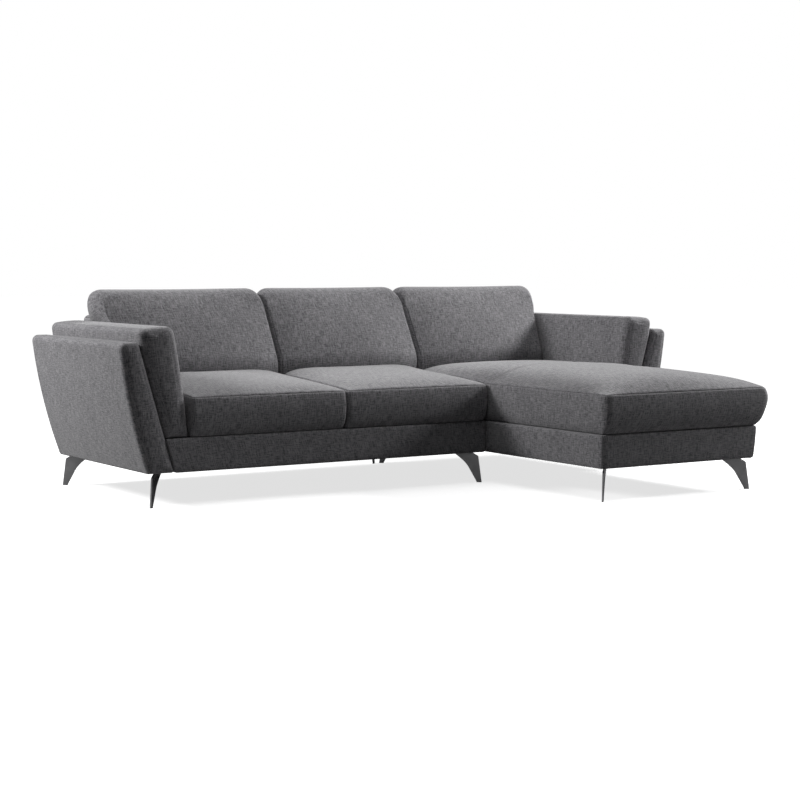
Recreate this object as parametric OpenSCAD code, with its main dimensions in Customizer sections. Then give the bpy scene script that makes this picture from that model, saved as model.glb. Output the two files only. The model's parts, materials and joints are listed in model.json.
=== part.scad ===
// L-shaped sectional sofa: a two-seat module with a left arm and a chaise module with a right arm.
// Millimetres. X runs along the back, Y from the chaise's foot to the back, Z up from the floor.

/* [Seats] */
// Width of each seat of the two-seat module
seat_w = 728; // [600:1:850]
// Width of the chaise seat, from the module joint to the right arm
chaise_seat_w = 746; // [620:1:900]
// How far the chaise base reaches in front of the two-seat base
chaise_ahead = 819; // [600:1:1000]
// Depth of the two-seat base at its bottom edge
base_depth = 938; // [900:1:1020]
// Height of the base bottom, which is the height of the legs
leg_h = 136; // [100:1:180]
// Height of the seat deck above the base bottom
base_h = 139; // [125:1:180]
// Gap between the two modules, and between loose cushions
module_gap = 1; // [0.6:0.1:3]

/* [Cushions] */
// Height of the front seam of a seat cushion above the deck
seam_rise = 162; // [120:1:190]
// How much higher the rear edge of a seat cushion is than its front seam
rear_rise = 40; // [10:1:60]
// Crown of a seat cushion above its seams
seat_crown = 26; // [8:1:40]
// Crown of the chaise cushion above its seams
chaise_crown = 44; // [15:1:60]
// How far a seat cushion swells past the front of the base
cushion_nose = 22; // [8:1:40]
// How far the seam at the top edge lies inside a cushion's widest line
seam_draw = 11; // [4:1:18]
// How far a seat cushion stops in front of the foot of the sloping back
seat_stop = 88; // [85:1:150]
// How far the chaise cushion overhangs the base on its open right side
wing_overhang = 78; // [30:1:100]
// Length of a back cushion along its slope
back_cushion_l = 612; // [560:1:680]
// Thickness of a back cushion's border
back_border_t = 140; // [110:1:150]
// Thickness of a back cushion's border where it tucks in behind the seat cushion
back_foot_t = 60; // [50:1:70]
// Crown on the front of a back cushion
back_crown = 42; // [20:1:46]
// Radius of a back cushion's corners as seen from the front
back_corner_r = 58; // [40:1:80]
// Slope of the back, from the vertical
rake = 25; // [20:0.5:28]

/* [Arms] */
// Thickness of the inner arm pad at the seat deck
pad_foot_w = 104; // [85:1:130]
// Height of the inner arm pad above the floor
pad_h = 727; // [690:1:780]
// Thickness of the outer arm panel at the base bottom
panel_foot_w = 121; // [115:1:150]
// Thickness of the outer arm panel at its top
panel_top_w = 88; // [75:1:110]
// Height of the outer arm panel above the floor
panel_h = 664; // [620:1:680]
// Outward lean of the seam between the panel and the pad
seam_lean = 16; // [12:0.5:20]
// Outward lean of the inner face of the pad
pad_lean = 7; // [5:0.5:10]
// How far the outer face of the panel bows outward
panel_bow = 14; // [0:1:25]
// How far the open side of the chaise base lies inside the foot of the arm's outer face
wing_inset = 92; // [80:1:110]
// Outward lean of the open side of the chaise base
wing_lean = 7; // [0:0.5:12]

/* [Back] */
// Height of the back frame above the floor
back_h = 745; // [700:1:780]
// Distance from the foot of the sloping back to the rear of the base
back_room = 288; // [275:1:320]
// Backward lean of the rear face
rear_lean = 2.5; // [0:0.5:4]
// Thickness of the padded inside back
inside_back_t = 20; // [12:1:28]
// Thickness of the outside back panel
outside_back_t = 12; // [8:1:16]

/* [Legs] */
// Thickness of a blade leg
blade_t = 6; // [4:0.5:10]
// Width of a blade leg at the floor
blade_tip_w = 22; // [14:1:30]
// Width of a blade leg at the base
blade_top_w = 95; // [80:1:100]
// How far a blade leg reaches out from its inner edge to its tip
blade_reach = 140; // [125:1:145]
// How far a blade tip lies inside the corner of the base, along X and along Y
tip_inset = 14; // [8:1:20]
// Side of a square leg plate
plate_side = 80; // [72:1:80]
// Thickness of a leg plate and of the connector plates
plate_t = 4; // [3:0.5:5]
// Diameter of the frame bolts
bolt_d = 8; // [6:1:10]
// Thickness of a plastic glide
glide_t = 2.5; // [2:0.5:5]

/* [Frame] */
// Thickness of the padded cover on the base
cover_t = 12; // [8:1:14]
// Thickness of the hardwood rails
rail_t = 24; // [18:1:24]
// Thickness of the back posts
post_t = 25; // [18:1:32]
// Thickness of the padded seat deck
deck_t = 12; // [8:1:16]
// Thickness of the dust cover
dust_t = 2; // [1:0.5:2]
// Thickness of a corner block
block_t = 40; // [25:1:50]
// Length of a corner block along each rail
block_l = 130; // [110:1:160]
// Wire diameter of the zigzag springs
wire_d = 4; // [3:0.5:5]
// Width of a zigzag spring
spring_w = 52; // [40:1:60]
// Number of springs under each seat of the two-seat module
springs_per_seat = 4; // [3:1:5]
// Number of springs across the chaise seat in front of the arm
chaise_front_springs = 5; // [4:1:6]
// Number of springs across the chaise seat beside the arm
chaise_rear_springs = 4; // [3:1:5]
// Width of the elastic back straps
strap_w = 60; // [40:1:70]
// Thickness of the elastic back straps
strap_t = 2; // [1.5:0.5:3]
// Distance from one back strap to the next
strap_step = 95; // [80:1:100]
// Thickness of the ply board in an inner arm pad
board_t = 9; // [6:1:12]

/* [Connectors] */
// Width of a connector tongue
tongue_w = 30; // [20:1:40]
// Length of the tongue beyond the module joint
tongue_l = 48; // [30:1:55]
// Wall thickness of a socket
socket_wall = 3; // [2:0.5:4]

/* [Hidden] */

// Fit between soft pieces, and between wood and cover
fit = 0.3;
// Small overlap that a cutting shape needs past the face it opens
over = 1;

// Heights
deck_z = leg_h + base_h;
rail_z = leg_h + dust_t + fit;
clip_wall = 1.5;
clip_h = wire_d + 2 * clip_wall + 0.6;
deck_low_z = deck_z - deck_t;
spring_rail_top = deck_low_z - clip_h - fit;
plate_z = leg_h + plate_t;
block_z = plate_z + plate_t;

// Widths, from the middle between the arms
inner_x = seat_w + chaise_seat_w / 2;
joint_x = inner_x - chaise_seat_w;
seat_line_x = joint_x - seat_w;
love_side_x = joint_x - module_gap / 2;
chaise_side_x = joint_x + module_gap / 2;
seam_slope = tan(seam_lean);
seam_deck_x = inner_x + pad_foot_w;
function seam_x(z) = seam_deck_x + seam_slope * (z - deck_z);
panel_foot_x = seam_x(leg_h) + panel_foot_w;
panel_top_x = seam_x(panel_h) + panel_top_w;
// The rails beside an arm stand upright, so the cover between them and the leaning seam widens upward
arm_cover_foot = cover_t + 3;
arm_rail_x = seam_x(leg_h) - arm_cover_foot;

// The chaise base in front of the arm is inset from the arm's outer face
wing_foot_x = panel_foot_x - wing_inset;
wing_deck_x = wing_foot_x + base_h * tan(wing_lean);
wing_rail_x = wing_foot_x - cover_t;

// Depths, with the whole sofa centred on Y = 0
rear_slope = tan(rear_lean);
back_total = base_depth + rear_slope * (back_h - leg_h);
front_y = (cushion_nose + chaise_ahead - back_total) / 2;
chaise_y = front_y - chaise_ahead;
rear_y = front_y + base_depth;
foot_y = rear_y - back_room;
function rear_face_y(z) = rear_y + rear_slope * (z - leg_h);
// Rear edge of the wood behind the seats, in front of the outside back
function back_wood_y(z) = rear_face_y(z) - outside_back_t / cos(rear_lean) - fit;
back_rail_y = rear_y - cover_t - rail_t;
deck_rail_y = foot_y;
deck_end_y = deck_rail_y + rail_t;

// Height of the underside of the back's top padding
top_pad_t = 10;
top_rail_h = 22;
post_top_z = back_h - top_pad_t - top_rail_h - 2 * fit;
post_front_t = inside_back_t + strap_t + 2 * fit;
function slope_y(z, depth) = foot_y + depth / cos(rake) + (z - deck_z) * tan(rake);

// Colours
fabric_grey = [0.42, 0.42, 0.45];
wood_tan = [0.78, 0.64, 0.44];
steel_grey = [0.62, 0.62, 0.63];
black = [0.12, 0.12, 0.12];

// Small helpers
function mix(a, b, t) = a + (b - a) * t;
function clamp01(t) = max(0, min(1, t));
function smooth(t) = let (c = clamp01(t)) c * c * (3 - 2 * c);
// Even steps from 0 to 1, drawn together at both ends
function ease(t) = 0.5 - 0.5 * cos(180 * t);
function dome(t, power) = 1 - pow(abs(2 * t - 1), power);

// A box given by its low and high corners
module block(low, high) translate(low) cube(high - low);

// An outline in X and Z drawn out along Y
module along_y(y0, y1) translate([0, y1, 0]) rotate([90, 0, 0]) linear_extrude(y1 - y0) children();

// An outline in Y and Z drawn out along X
module along_x(x0, x1) translate([x0, 0, 0]) rotate([90, 0, 90]) linear_extrude(x1 - x0) children();

// Moves a child to the foot of the sloping back: its Z runs up the slope and its Y into the back
module on_slope() translate([0, foot_y, deck_z]) rotate([-rake, 0, 0]) children();

module mirrored(side) mirror([side < 0 ? 1 : 0, 0, 0]) children();

// Soft solids. A grid of nu by nv cells makes the top and the bottom, and k rings of the grid's edge
// join them. place(u, v, w) gives the point at u and v on the grid, w of the way from bottom to top.
function edge_step(p, nu, nv) =
    p < nu ? [p, 0] :
    p < nu + nv ? [nu, p - nu] :
    p < 2 * nu + nv ? [2 * nu + nv - p, nv] : [0, 2 * (nu + nv) - p];

function soft_points(nu, nv, k, place) = concat(
    [for (j = [0:nv], i = [0:nu]) place(i / nu, j / nv, 1)],
    [for (j = [0:nv], i = [0:nu]) place(i / nu, j / nv, 0)],
    [for (m = [1:k - 1], p = [0:2 * (nu + nv) - 1])
        let (c = edge_step(p, nu, nv)) place(c[0] / nu, c[1] / nv, m / k)]);

// Number of the point at step p of ring m, where ring 0 is the bottom's edge and ring k the top's
function ring_point(p, m, nu, nv, k) =
    let (around = 2 * (nu + nv), q = p % around, c = edge_step(q, nu, nv), grid = (nu + 1) * (nv + 1))
    m == k ? c[0] + c[1] * (nu + 1) :
    m == 0 ? grid + c[0] + c[1] * (nu + 1) :
    2 * grid + (m - 1) * around + q;

function soft_faces(nu, nv, k) =
    let (row = nu + 1, grid = row * (nv + 1), around = 2 * (nu + nv))
    concat(
        [for (j = [0:nv - 1], i = [0:nu - 1], half = [0, 1])
            let (a = i + j * row, b = a + 1, c = a + row, d = c + 1)
            half == 0 ? [a, c, b] : [b, c, d]],
        [for (j = [0:nv - 1], i = [0:nu - 1], half = [0, 1])
            let (a = grid + i + j * row, b = a + 1, c = a + row, d = c + 1)
            half == 0 ? [a, b, c] : [b, d, c]],
        [for (m = [0:k - 1], p = [0:around - 1], half = [0, 1])
            let (a = ring_point(p, m, nu, nv, k), b = ring_point(p + 1, m, nu, nv, k),
                 c = ring_point(p, m + 1, nu, nv, k), d = ring_point(p + 1, m + 1, nu, nv, k))
            half == 0 ? [a, c, b] : [b, c, d]]);

// Rounds the corners of a rectangle in plan: the point p of the rectangle from low to high moves inward
function rounded(p, low, high, r) =
    let (mid = (low + high) / 2,
         ax = abs(p[0] - mid[0]) - ((high[0] - low[0]) / 2 - r),
         ay = abs(p[1] - mid[1]) - ((high[1] - low[1]) / 2 - r))
    ax <= 0 || ay <= 0 ? p :
    let (reach = max(ax, ay) / norm([ax, ay]))
    [p[0] + sign(p[0] - mid[0]) * ax * (reach - 1), p[1] + sign(p[1] - mid[1]) * ay * (reach - 1)];

// How far a seat cushion's side lies inside its widest line, w of the way up
function side_draw(w, foot, seam) = foot * pow(1 - w, 4) + seam * pow(w, 6);

// Seat cushions
seat_cushion_depth = foot_y - front_y - seat_stop;
seat_draw = 6;
seat_corner_r = 16;
crown_power = 3.2;

function seat_place(x0, x1) = function (u, v, w)
    let (su = ease(u), sv = ease(v), side = side_draw(w, seat_draw, seat_draw),
         low = [x0 + side, front_y - cushion_nose + side_draw(w, cushion_nose, seam_draw)],
         high = [x1 - side, front_y + seat_cushion_depth - side],
         p = rounded([mix(low[0], high[0], su), mix(low[1], high[1], sv)], low, high, seat_corner_r),
         top = seam_rise + rear_rise * pow(sv, 0.7)
             + seat_crown * dome(su, crown_power) * (1 - pow(1 - sv, crown_power)))
    [p[0], p[1], deck_z + fit + w * (top - fit)];

module seat_cushion(x0, x1) {
    nu = 12;
    nv = 11;
    k = 5;
    color(fabric_grey)
        polyhedron(soft_points(nu, nv, k, seat_place(x0 + module_gap / 2, x1 - module_gap / 2)),
            soft_faces(nu, nv, k));
}

// The chaise cushion is T-shaped: in front of the arm it widens past the base
wing_x = wing_deck_x + wing_overhang;
wing_end_y = front_y - 6;
wing_turn = 30;
chaise_rows = 9;
turn_rows = 4;
rear_rows = 6;
all_rows = chaise_rows + turn_rows + rear_rows;

// Distance of a row of the chaise cushion's grid behind the cushion's front edge, as a share of its length
chaise_front = chaise_y - cushion_nose;
chaise_rear = front_y + seat_cushion_depth;
function row_y(j) =
    j <= chaise_rows ? mix(chaise_front, wing_end_y - wing_turn, 1 - cos(90 * j / chaise_rows)) :
    j <= chaise_rows + turn_rows ? wing_end_y - wing_turn * (1 - (j - chaise_rows) / turn_rows) :
    mix(wing_end_y, chaise_rear, sin(90 * (j - chaise_rows - turn_rows) / rear_rows));

function chaise_place() = function (u, v, w)
    let (y = row_y(round(v * all_rows)), su = ease(u), sv = (y - chaise_front) / (chaise_rear - chaise_front),
         wing = smooth((wing_end_y - y) / wing_turn),
         left = chaise_side_x + side_draw(w, seat_draw, seat_draw),
         arm_side = inner_x - module_gap / 2 - side_draw(w, seat_draw, seat_draw),
         open_side = wing_x - side_draw(w, wing_overhang, seam_draw + 3),
         low = [left, chaise_front + side_draw(w, cushion_nose, seam_draw)],
         high = [mix(arm_side, open_side, wing), chaise_rear - side_draw(w, seat_draw, seat_draw)],
         p = rounded([mix(low[0], high[0], su), mix(low[1], high[1], sv)], low, high, seat_corner_r + 8),
         top = seam_rise + 3 + (rear_rise - 3) * pow(clamp01((y - front_y) / seat_cushion_depth), 0.7)
             + chaise_crown * dome(su, crown_power) * (1 - pow(1 - sv, 2 * crown_power)))
    [p[0], p[1], deck_z + fit + w * (top - fit)];

module chaise_cushion() {
    nu = 14;
    k = 6;
    color(fabric_grey)
        polyhedron(soft_points(nu, all_rows, k, chaise_place()), soft_faces(nu, all_rows, k));
}

// Back cushions lean on the slope. Their border is round, and they thin out behind the seat cushion.
back_border_r = back_foot_t / 2;
back_top_r = 54;
back_rear_crown = 8;
// How far a cushion slides down the slope until its round foot stands on the deck
foot_slide = (back_border_r * (cos(rake) - 1) + (fit + back_rear_crown + back_border_r) * sin(rake) - fit)
    / cos(rake);
// The cushions beside the arms widen above the pads
back_flare = 38;
flare_from = 0.72;
flare_l = 90;

// Half round border: how far it lies inside the widest line, w of the way through the thickness
function border_draw(w, r) = r * (1 - sqrt(max(0, 1 - pow(2 * w - 1, 2))));

function back_place(x0, x1, left_arm, right_arm) = function (u, v, w)
    let (su = ease(u), sv = ease(v), h = back_cushion_l * sv,
         spread = pad_slope * 0.75 * h + back_flare * smooth((h - flare_from * back_cushion_l) / flare_l),
         side = border_draw(w, back_border_r + 4),
         low = [x0 + side - left_arm * spread, border_draw(w, back_border_r)],
         high = [x1 - side + right_arm * spread, back_cushion_l - border_draw(w, back_top_r)],
         p = rounded([mix(low[0], high[0], su), mix(low[1], high[1], sv)], low, high, back_corner_r),
         border = mix(back_foot_t, back_border_t, smooth(sv / 0.4)),
         bulge = dome(su, 2.5) * dome(sv, 2.5),
         t = fit + back_rear_crown + w * border
             + (w == 1 ? back_crown * bulge : w == 0 ? -back_rear_crown * bulge : 0),
         up = p[1] - foot_slide)
    [p[0], foot_y + up * sin(rake) - t * cos(rake), deck_z + up * cos(rake) + t * sin(rake)];

module back_cushion(x0, x1, left_arm, right_arm) {
    nu = 11;
    nv = 11;
    k = 5;
    place = back_place(x0 + module_gap / 2, x1 - module_gap / 2, left_arm, right_arm);
    color(fabric_grey) polyhedron(soft_points(nu, nv, k, place), soft_faces(nu, nv, k));
}

// Arms. Both arms are made on the right and mirrored for the left.
pad_slope = tan(pad_lean);
pad_bulge = 6;
function pad_inner_x(z) = inner_x + pad_slope * (z - deck_z);

// Rounds the corner at b between a and c with radius r, in n steps
function corner_arc(a, b, c, r, n) =
    let (u = (a - b) / norm(a - b), w = (c - b) / norm(c - b),
         half = acos(u * w) / 2, reach = r / tan(half),
         middle = b + (u + w) / norm(u + w) * r / sin(half),
         from = b + u * reach - middle,
         turn = 180 - 2 * half,
         way = cross(u, w) < 0 ? 1 : -1)
    [for (i = [0:n]) let (t = way * turn * i / n)
        middle + [from[0] * cos(t) - from[1] * sin(t), from[0] * sin(t) + from[1] * cos(t)]];

// An outline with a bow on each edge and a radius at each corner, given as [x, z, radius, bow after it]
function bowed(corners, i, steps) =
    let (a = corners[i], b = corners[(i + 1) % len(corners)], way = [b[0] - a[0], b[1] - a[1]],
         out = [way[1], -way[0]] / norm(way))
    a[3] == 0 ? [] :
    [for (s = [1:steps - 1]) let (t = s / steps)
        [a[0], a[1]] + way * t + out * a[3] * 4 * t * (1 - t)];

function outline(corners, n, steps) =
    let (m = len(corners))
    [for (i = [0:m - 1])
        let (a = corners[(i + m - 1) % m], b = corners[i], c = corners[(i + 1) % m])
        each concat(corner_arc([a[0], a[1]], [b[0], b[1]], [c[0], c[1]], b[2], n), bowed(corners, i, steps))];

// Moves a point of an outline towards the outline's spine from a to b
function drawn_in(p, a, b, d) =
    let (t = clamp01((p - a) * (b - a) / ((b - a) * (b - a))), c = a + t * (b - a))
    p + d * (c - p) / norm(c - p);

// An upholstered slab: an outline in X and Z along Y, rounded at the front and at the leaning rear end
module soft_slab(shape, spine, y0, y1, r, steps) {
    n = len(shape);
    front = [for (s = [0:steps]) let (t = 90 * s / steps) [y0 + r * (1 - sin(t)), r * (1 - cos(t))]];
    rear = [for (s = [0:steps]) let (t = 90 * s / steps) [y1 - r * (1 - sin(t)), r * (1 - cos(t))]];
    rings = concat([for (s = [steps:-1:0]) [front[s][0], front[s][1], 0]],
        [for (s = [0:steps]) [rear[s][0], rear[s][1], 1]]);
    m = len(rings);
    skin = [for (ring = rings, p = shape)
        let (q = drawn_in(p, spine[0], spine[1], ring[1]))
        [q[0], ring[0] + ring[2] * rear_slope * (q[1] - leg_h), q[1]]];
    middle = (spine[0] + spine[1]) / 2;
    ends = [[middle[0], rings[0][0], middle[1]],
        [middle[0], rings[m - 1][0] + rear_slope * (middle[1] - leg_h), middle[1]]];
    sides = [for (j = [0:m - 2], i = [0:n - 1], half = [0, 1])
        let (a = j * n + i, b = j * n + (i + 1) % n, c = a + n, d = b + n)
        half == 0 ? [a, b, c] : [b, d, c]];
    caps = concat([for (i = [0:n - 1]) [m * n, (i + 1) % n, i]],
        [for (i = [0:n - 1]) [m * n + 1, (m - 1) * n + i, (m - 1) * n + (i + 1) % n]]);
    polyhedron(concat(skin, ends), concat(sides, caps));
}

panel_shape = outline([
    [seam_x(leg_h), leg_h, 8, 0],
    [panel_foot_x, leg_h, 14, panel_bow],
    [panel_top_x, panel_h, 26, 0],
    [seam_x(panel_h), panel_h, 20, 0]], 4, 5);
// Lines up the middle of the panel and the pad, towards which their ends draw in
panel_spine = [[seam_x(leg_h) + panel_foot_w / 2 + 12, leg_h + panel_foot_w / 2],
    [seam_x(panel_h) + panel_top_w / 2 - 8, panel_h - panel_top_w / 2]];

// The pad stands above the panel and rounds over towards it
pad_seam_gap = 2 * fit;
pad_top_x = pad_inner_x(pad_h) + 4;
pad_shoulder_z = panel_h - 27;
pad_over_x = seam_x(panel_h);
pad_over_z = pad_h - 11;
pad_shape = outline([
    [pad_inner_x(deck_z), deck_z + fit, 6, 0],
    [seam_x(deck_z) - pad_seam_gap, deck_z + fit, 6, 0],
    [seam_x(pad_shoulder_z) - pad_seam_gap, pad_shoulder_z, 60, 0],
    [pad_over_x, pad_over_z, 26, 2],
    [pad_top_x, pad_h, 38, pad_bulge]], 4, 5);
pad_spine = [[inner_x + pad_foot_w / 2, deck_z + pad_foot_w / 2], [(pad_top_x + pad_over_x) / 2, pad_h - 56]];

// Wooden beam at the foot of an arm, with posts and a top rail that lean inside the panel. The padding
// round them is thinner at the seam and at the ends than on the outer face and at the top.
padding_seam = 15;
padding_end = 14;
padding_out = 24;
padding_top = 28;
beam_low = [seam_x(leg_h) + padding_seam, front_y + padding_end, block_z];
beam_high = [panel_foot_x - padding_out, rear_y - padding_end, block_z + block_t];
ladder_t = 26;
ladder_in = 6;
ladder_sink = 6;
ladder_post_w = 50;
function panel_mid_x(z) =
    (seam_x(z) + mix(panel_foot_x, panel_top_x, (z - leg_h) / (panel_h - leg_h))) / 2;
ladder_foot_x = panel_mid_x(beam_high[2]);
ladder_top_z = panel_h - padding_top;
ladder_lean = atan((panel_mid_x(ladder_top_z) - ladder_foot_x) / (ladder_top_z - beam_high[2]));
ladder_l = (ladder_top_z - beam_high[2]) / cos(ladder_lean);
ladder_y = [beam_low[1] + ladder_in, beam_high[1] - ladder_in];

// Outline of the three posts and their top rail, in Y and up the lean
module ladder_outline() {
    for (t = [0, 0.5, 1]) translate([mix(ladder_y[0], ladder_y[1] - ladder_post_w, t), -ladder_sink])
        square([ladder_post_w, ladder_l + ladder_sink]);
    translate([ladder_y[0], ladder_l - ladder_post_w]) square([ladder_y[1] - ladder_y[0], ladder_post_w]);
}

module arm_wood() {
    block(beam_low, beam_high);
    translate([ladder_foot_x, 0, beam_high[2]]) rotate([0, ladder_lean, 0])
        along_x(-ladder_t / 2, ladder_t / 2) ladder_outline();
}

// Bolts that pull an arm to the side rail, along X
arm_bolt_z = (beam_low[2] + beam_high[2]) / 2;
arm_bolt_l = 90;
arm_bolt_ys = [for (t = [0.16, 0.42, 0.62]) mix(front_y, rear_y, t)];
bolt_head_r = bolt_d * 0.85;
bolt_head_h = 3.8;
bolt_sides = 8;

module arm_bolt_row(d, head) {
    for (y = arm_bolt_ys) translate([arm_rail_x - rail_t, y, arm_bolt_z]) rotate([0, 90, 0]) {
        cylinder(d = d, h = arm_bolt_l + (head ? 0 : fit), $fn = bolt_sides);
        if (head) translate([0, 0, -bolt_head_h]) cylinder(r = bolt_head_r, h = bolt_head_h, $fn = 6);
    }
}

module arm_frame(side) color(wood_tan) mirrored(side) difference() {
    arm_wood();
    arm_bolt_row(bolt_d + 2 * fit, false);
    for (corner = arm_corners(side)) at_corner(corner) corner_bolt_row(bolt_d + 2 * fit, false);
}

module arm_panel(side) color(fabric_grey) mirrored(side) difference() {
    soft_slab(panel_shape, panel_spine, front_y, rear_y, 24, 4);
    arm_wood();
    arm_bolt_row(bolt_d + 2 * fit, false);
    for (corner = arm_corners(side)) leg_pocket(corner);
}

// Ply board on the pad's seam side
board_end = 30;
board_low_z = deck_z + 20;
board_high_z = pad_shoulder_z - 20;
module pad_board_shape() along_y(front_y + board_end, pad_end_y - board_end) polygon([
    [seam_x(board_low_z) - pad_seam_gap, board_low_z], [seam_x(board_high_z) - pad_seam_gap, board_high_z],
    [seam_x(board_high_z) - pad_seam_gap - board_t, board_high_z],
    [seam_x(board_low_z) - pad_seam_gap - board_t, board_low_z]]);

// Cuts the board's bed out of the pad and past the pad's seam side
module pad_board_bed() {
    pad_board_shape();
    translate([board_t / 2, 0, 0]) pad_board_shape();
}

// The pad ends a little in front of the panel
pad_end_y = rear_y - 12;
module arm_pad(side) color(fabric_grey) mirrored(side) difference() {
    soft_slab(pad_shape, pad_spine, front_y, pad_end_y, 22, 4);
    pad_board_bed();
}

module pad_board(side) color(wood_tan) mirrored(side) pad_board_shape();

module arm_bolts(side) color(steel_grey) mirrored(side) arm_bolt_row(bolt_d, true);

// Legs. A corner is [x, y, way in x, way in y], where the ways point out of the module.
love_corners = [[love_side_x, front_y, 1, -1], [love_side_x, rear_y, 1, 1]];
chaise_corners = [[chaise_side_x, chaise_y, -1, -1], [wing_foot_x, chaise_y, 1, -1],
    [chaise_side_x, rear_y, -1, 1]];
// Corners under an arm, as they lie on the right before the left arm is mirrored
function arm_corners(side) = side < 0 ?
    [[panel_foot_x, front_y, 1, -1], [panel_foot_x, rear_y, 1, 1]] : [[panel_foot_x, rear_y, 1, 1]];

plate_edge = 38;
plate_mid = plate_edge + plate_side / 2;
leg_start = tip_inset + blade_reach / sqrt(2);
leg_bolt_off = 19;
leg_bolt_l = 34;

// Moves a child to a corner, with X and Y pointing inward from it
module at_corner(c)
    translate([c[0], c[1], 0]) mirror([c[2] > 0 ? 1 : 0, 0, 0]) mirror([0, c[3] > 0 ? 1 : 0, 0]) children();

// Side view of a blade: X runs outward along the diagonal, Y up. Its inner edge bends at a knee, in a
// curve that starts and ends part of the way along the two straights. Its outer edge has a shoulder.
knee = [blade_reach * 0.49, leg_h * 0.66];
knee_steps = 5;
shoulder_drop = 22;
shoulder_in = 15;
shoulder_bevel = 5;
module blade_outline() {
    head = [0, plate_z];
    tip = [blade_reach - blade_tip_w, glide_t];
    start = head + (knee - head) * 0.55;
    end = knee + (tip - knee) * 0.3;
    curve = [for (i = [0:knee_steps]) let (t = i / knee_steps)
        pow(1 - t, 2) * start + 2 * t * (1 - t) * knee + t * t * end];
    polygon(concat([head], curve, [tip, [blade_reach, glide_t],
        [blade_reach - shoulder_in, leg_h - shoulder_drop],
        [blade_reach - shoulder_in - shoulder_bevel / 2, leg_h - shoulder_drop + shoulder_bevel],
        [blade_top_w, leg_h - 1], [blade_top_w, plate_z]]));
}

module leg(c) at_corner(c) {
    translate([leg_start, leg_start, 0]) rotate([0, 0, -135]) rotate([90, 0, 0])
        linear_extrude(blade_t, center = true) blade_outline();
    difference() {
        translate([plate_edge, plate_edge, plate_z]) cube([plate_side, plate_side, plate_t]);
        corner_bolt_row(bolt_d + 2 * fit, false);
    }
}

// The two bolts of a leg, in the frame of its corner
module corner_bolt_row(d, head) {
    for (way = [-1, 1]) translate([plate_mid + way * leg_bolt_off, plate_mid - way * leg_bolt_off, plate_z]) {
        cylinder(d = d, h = leg_bolt_l + (head ? 0 : fit), $fn = bolt_sides);
        if (head) translate([0, 0, -bolt_head_h]) cylinder(r = bolt_head_r, h = bolt_head_h, $fn = 6);
    }
}

// Room for a leg plate in the underside of an arm panel
module leg_pocket(c) at_corner(c)
    block([plate_edge - fit, plate_edge - fit, leg_h - over],
        [plate_edge + plate_side + fit, plate_edge + plate_side + fit, block_z]);

glide_lip = 0.5;
module glide(c) at_corner(c) translate([leg_start, leg_start, 0]) rotate([0, 0, -135])
    translate([blade_reach - blade_tip_w, -blade_t / 2 - glide_lip, 0])
        cube([blade_tip_w, blade_t + 2 * glide_lip, glide_t]);

function real_arm_corners(side) = [for (c = arm_corners(side)) [side * c[0], c[1], side * c[2], c[3]]];
function module_corners(side) = concat(side < 0 ? love_corners : chaise_corners, real_arm_corners(side));

module legs(side) color(steel_grey) for (c = module_corners(side)) leg(c);
module leg_bolts(side) color(steel_grey) for (c = module_corners(side))
    at_corner(c) corner_bolt_row(bolt_d, true);
module glides(side) color(black) for (c = module_corners(side)) glide(c);

// Triangular corner blocks inside the rails
module corner_blocks(corners) color(wood_tan) for (c = corners) at_corner(c) difference() {
    start = cover_t + rail_t;
    translate([0, 0, block_z]) linear_extrude(block_t)
        polygon([[start, start], [start + block_l, start], [start, start + block_l]]);
    corner_bolt_row(bolt_d + 2 * fit, false);
}

// Zigzag spring along X from 0 to length, around its middle line, as one bent flat wire
spring_turns = 9;
bend_steps = 2;
function zigzag(length, off) =
    let (pitch = length / spring_turns)
    [for (i = [0:spring_turns - 1], s = [0:bend_steps])
        let (way = i % 2 == 0 ? 1 : -1, t = 180 * s / bend_steps,
             r = (pitch / 2 + way * off) * [1, min(1, 0.9 * spring_w / pitch)])
        [pitch * (i + 0.5) - r[0] * cos(t), way * (spring_w / 2 - pitch * 0.3 + r[1] * sin(t))]];

end_bar = 20;
module spring(length) {
    left = zigzag(length, wire_d / 2);
    right = zigzag(length, -wire_d / 2);
    n = len(right);
    linear_extrude(wire_d) {
        polygon(concat(left, [for (i = [n - 1:-1:0]) right[i]]));
        for (x = [0, length]) translate([x - wire_d / 2, -end_bar / 2]) square([wire_d, end_bar]);
    }
}

// Clip that holds the end bar of a spring: a folded strip, open towards positive X
clip_w = 16;
clip_l = 13;
module clip() along_y(-clip_w / 2, clip_w / 2) difference() {
    translate([-clip_l / 2, 0]) square([clip_l, clip_h]);
    translate([-clip_l / 2 + clip_wall, clip_wall]) square([clip_l, clip_h - 2 * clip_wall]);
}

module clip_pair(length) {
    clip();
    translate([length, 0, 0]) mirror([1, 0, 0]) clip();
}

// Middle line of a spring's end bar, behind the inner face of its rail
clip_in = 10;
love_spring_l = deck_rail_y - (front_y + cover_t + rail_t) + 2 * clip_in;
love_spring_y = front_y + cover_t + rail_t - clip_in;
love_springs_x = concat(shared_out(-inner_x, seat_line_x, springs_per_seat),
    shared_out(seat_line_x, joint_x, springs_per_seat));

chaise_wood_x = chaise_side_x + cover_t;
chaise_left_x = chaise_wood_x + rail_t;
chaise_front_rail_y = chaise_y + cover_t + rail_t;
function spring_span(right_x) = right_x - rail_t - chaise_left_x + 2 * clip_in;
function shared_out(from, to, count) = [for (i = [0:count - 1]) mix(from, to, (i + 0.5) / count)];
chaise_springs_at = concat(
    [for (y = shared_out(chaise_front_rail_y, front_y - rail_t, chaise_front_springs))
        [y, spring_span(wing_rail_x)]],
    [for (y = shared_out(front_y, deck_rail_y, chaise_rear_springs)) [y, spring_span(arm_rail_x)]]);

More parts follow.
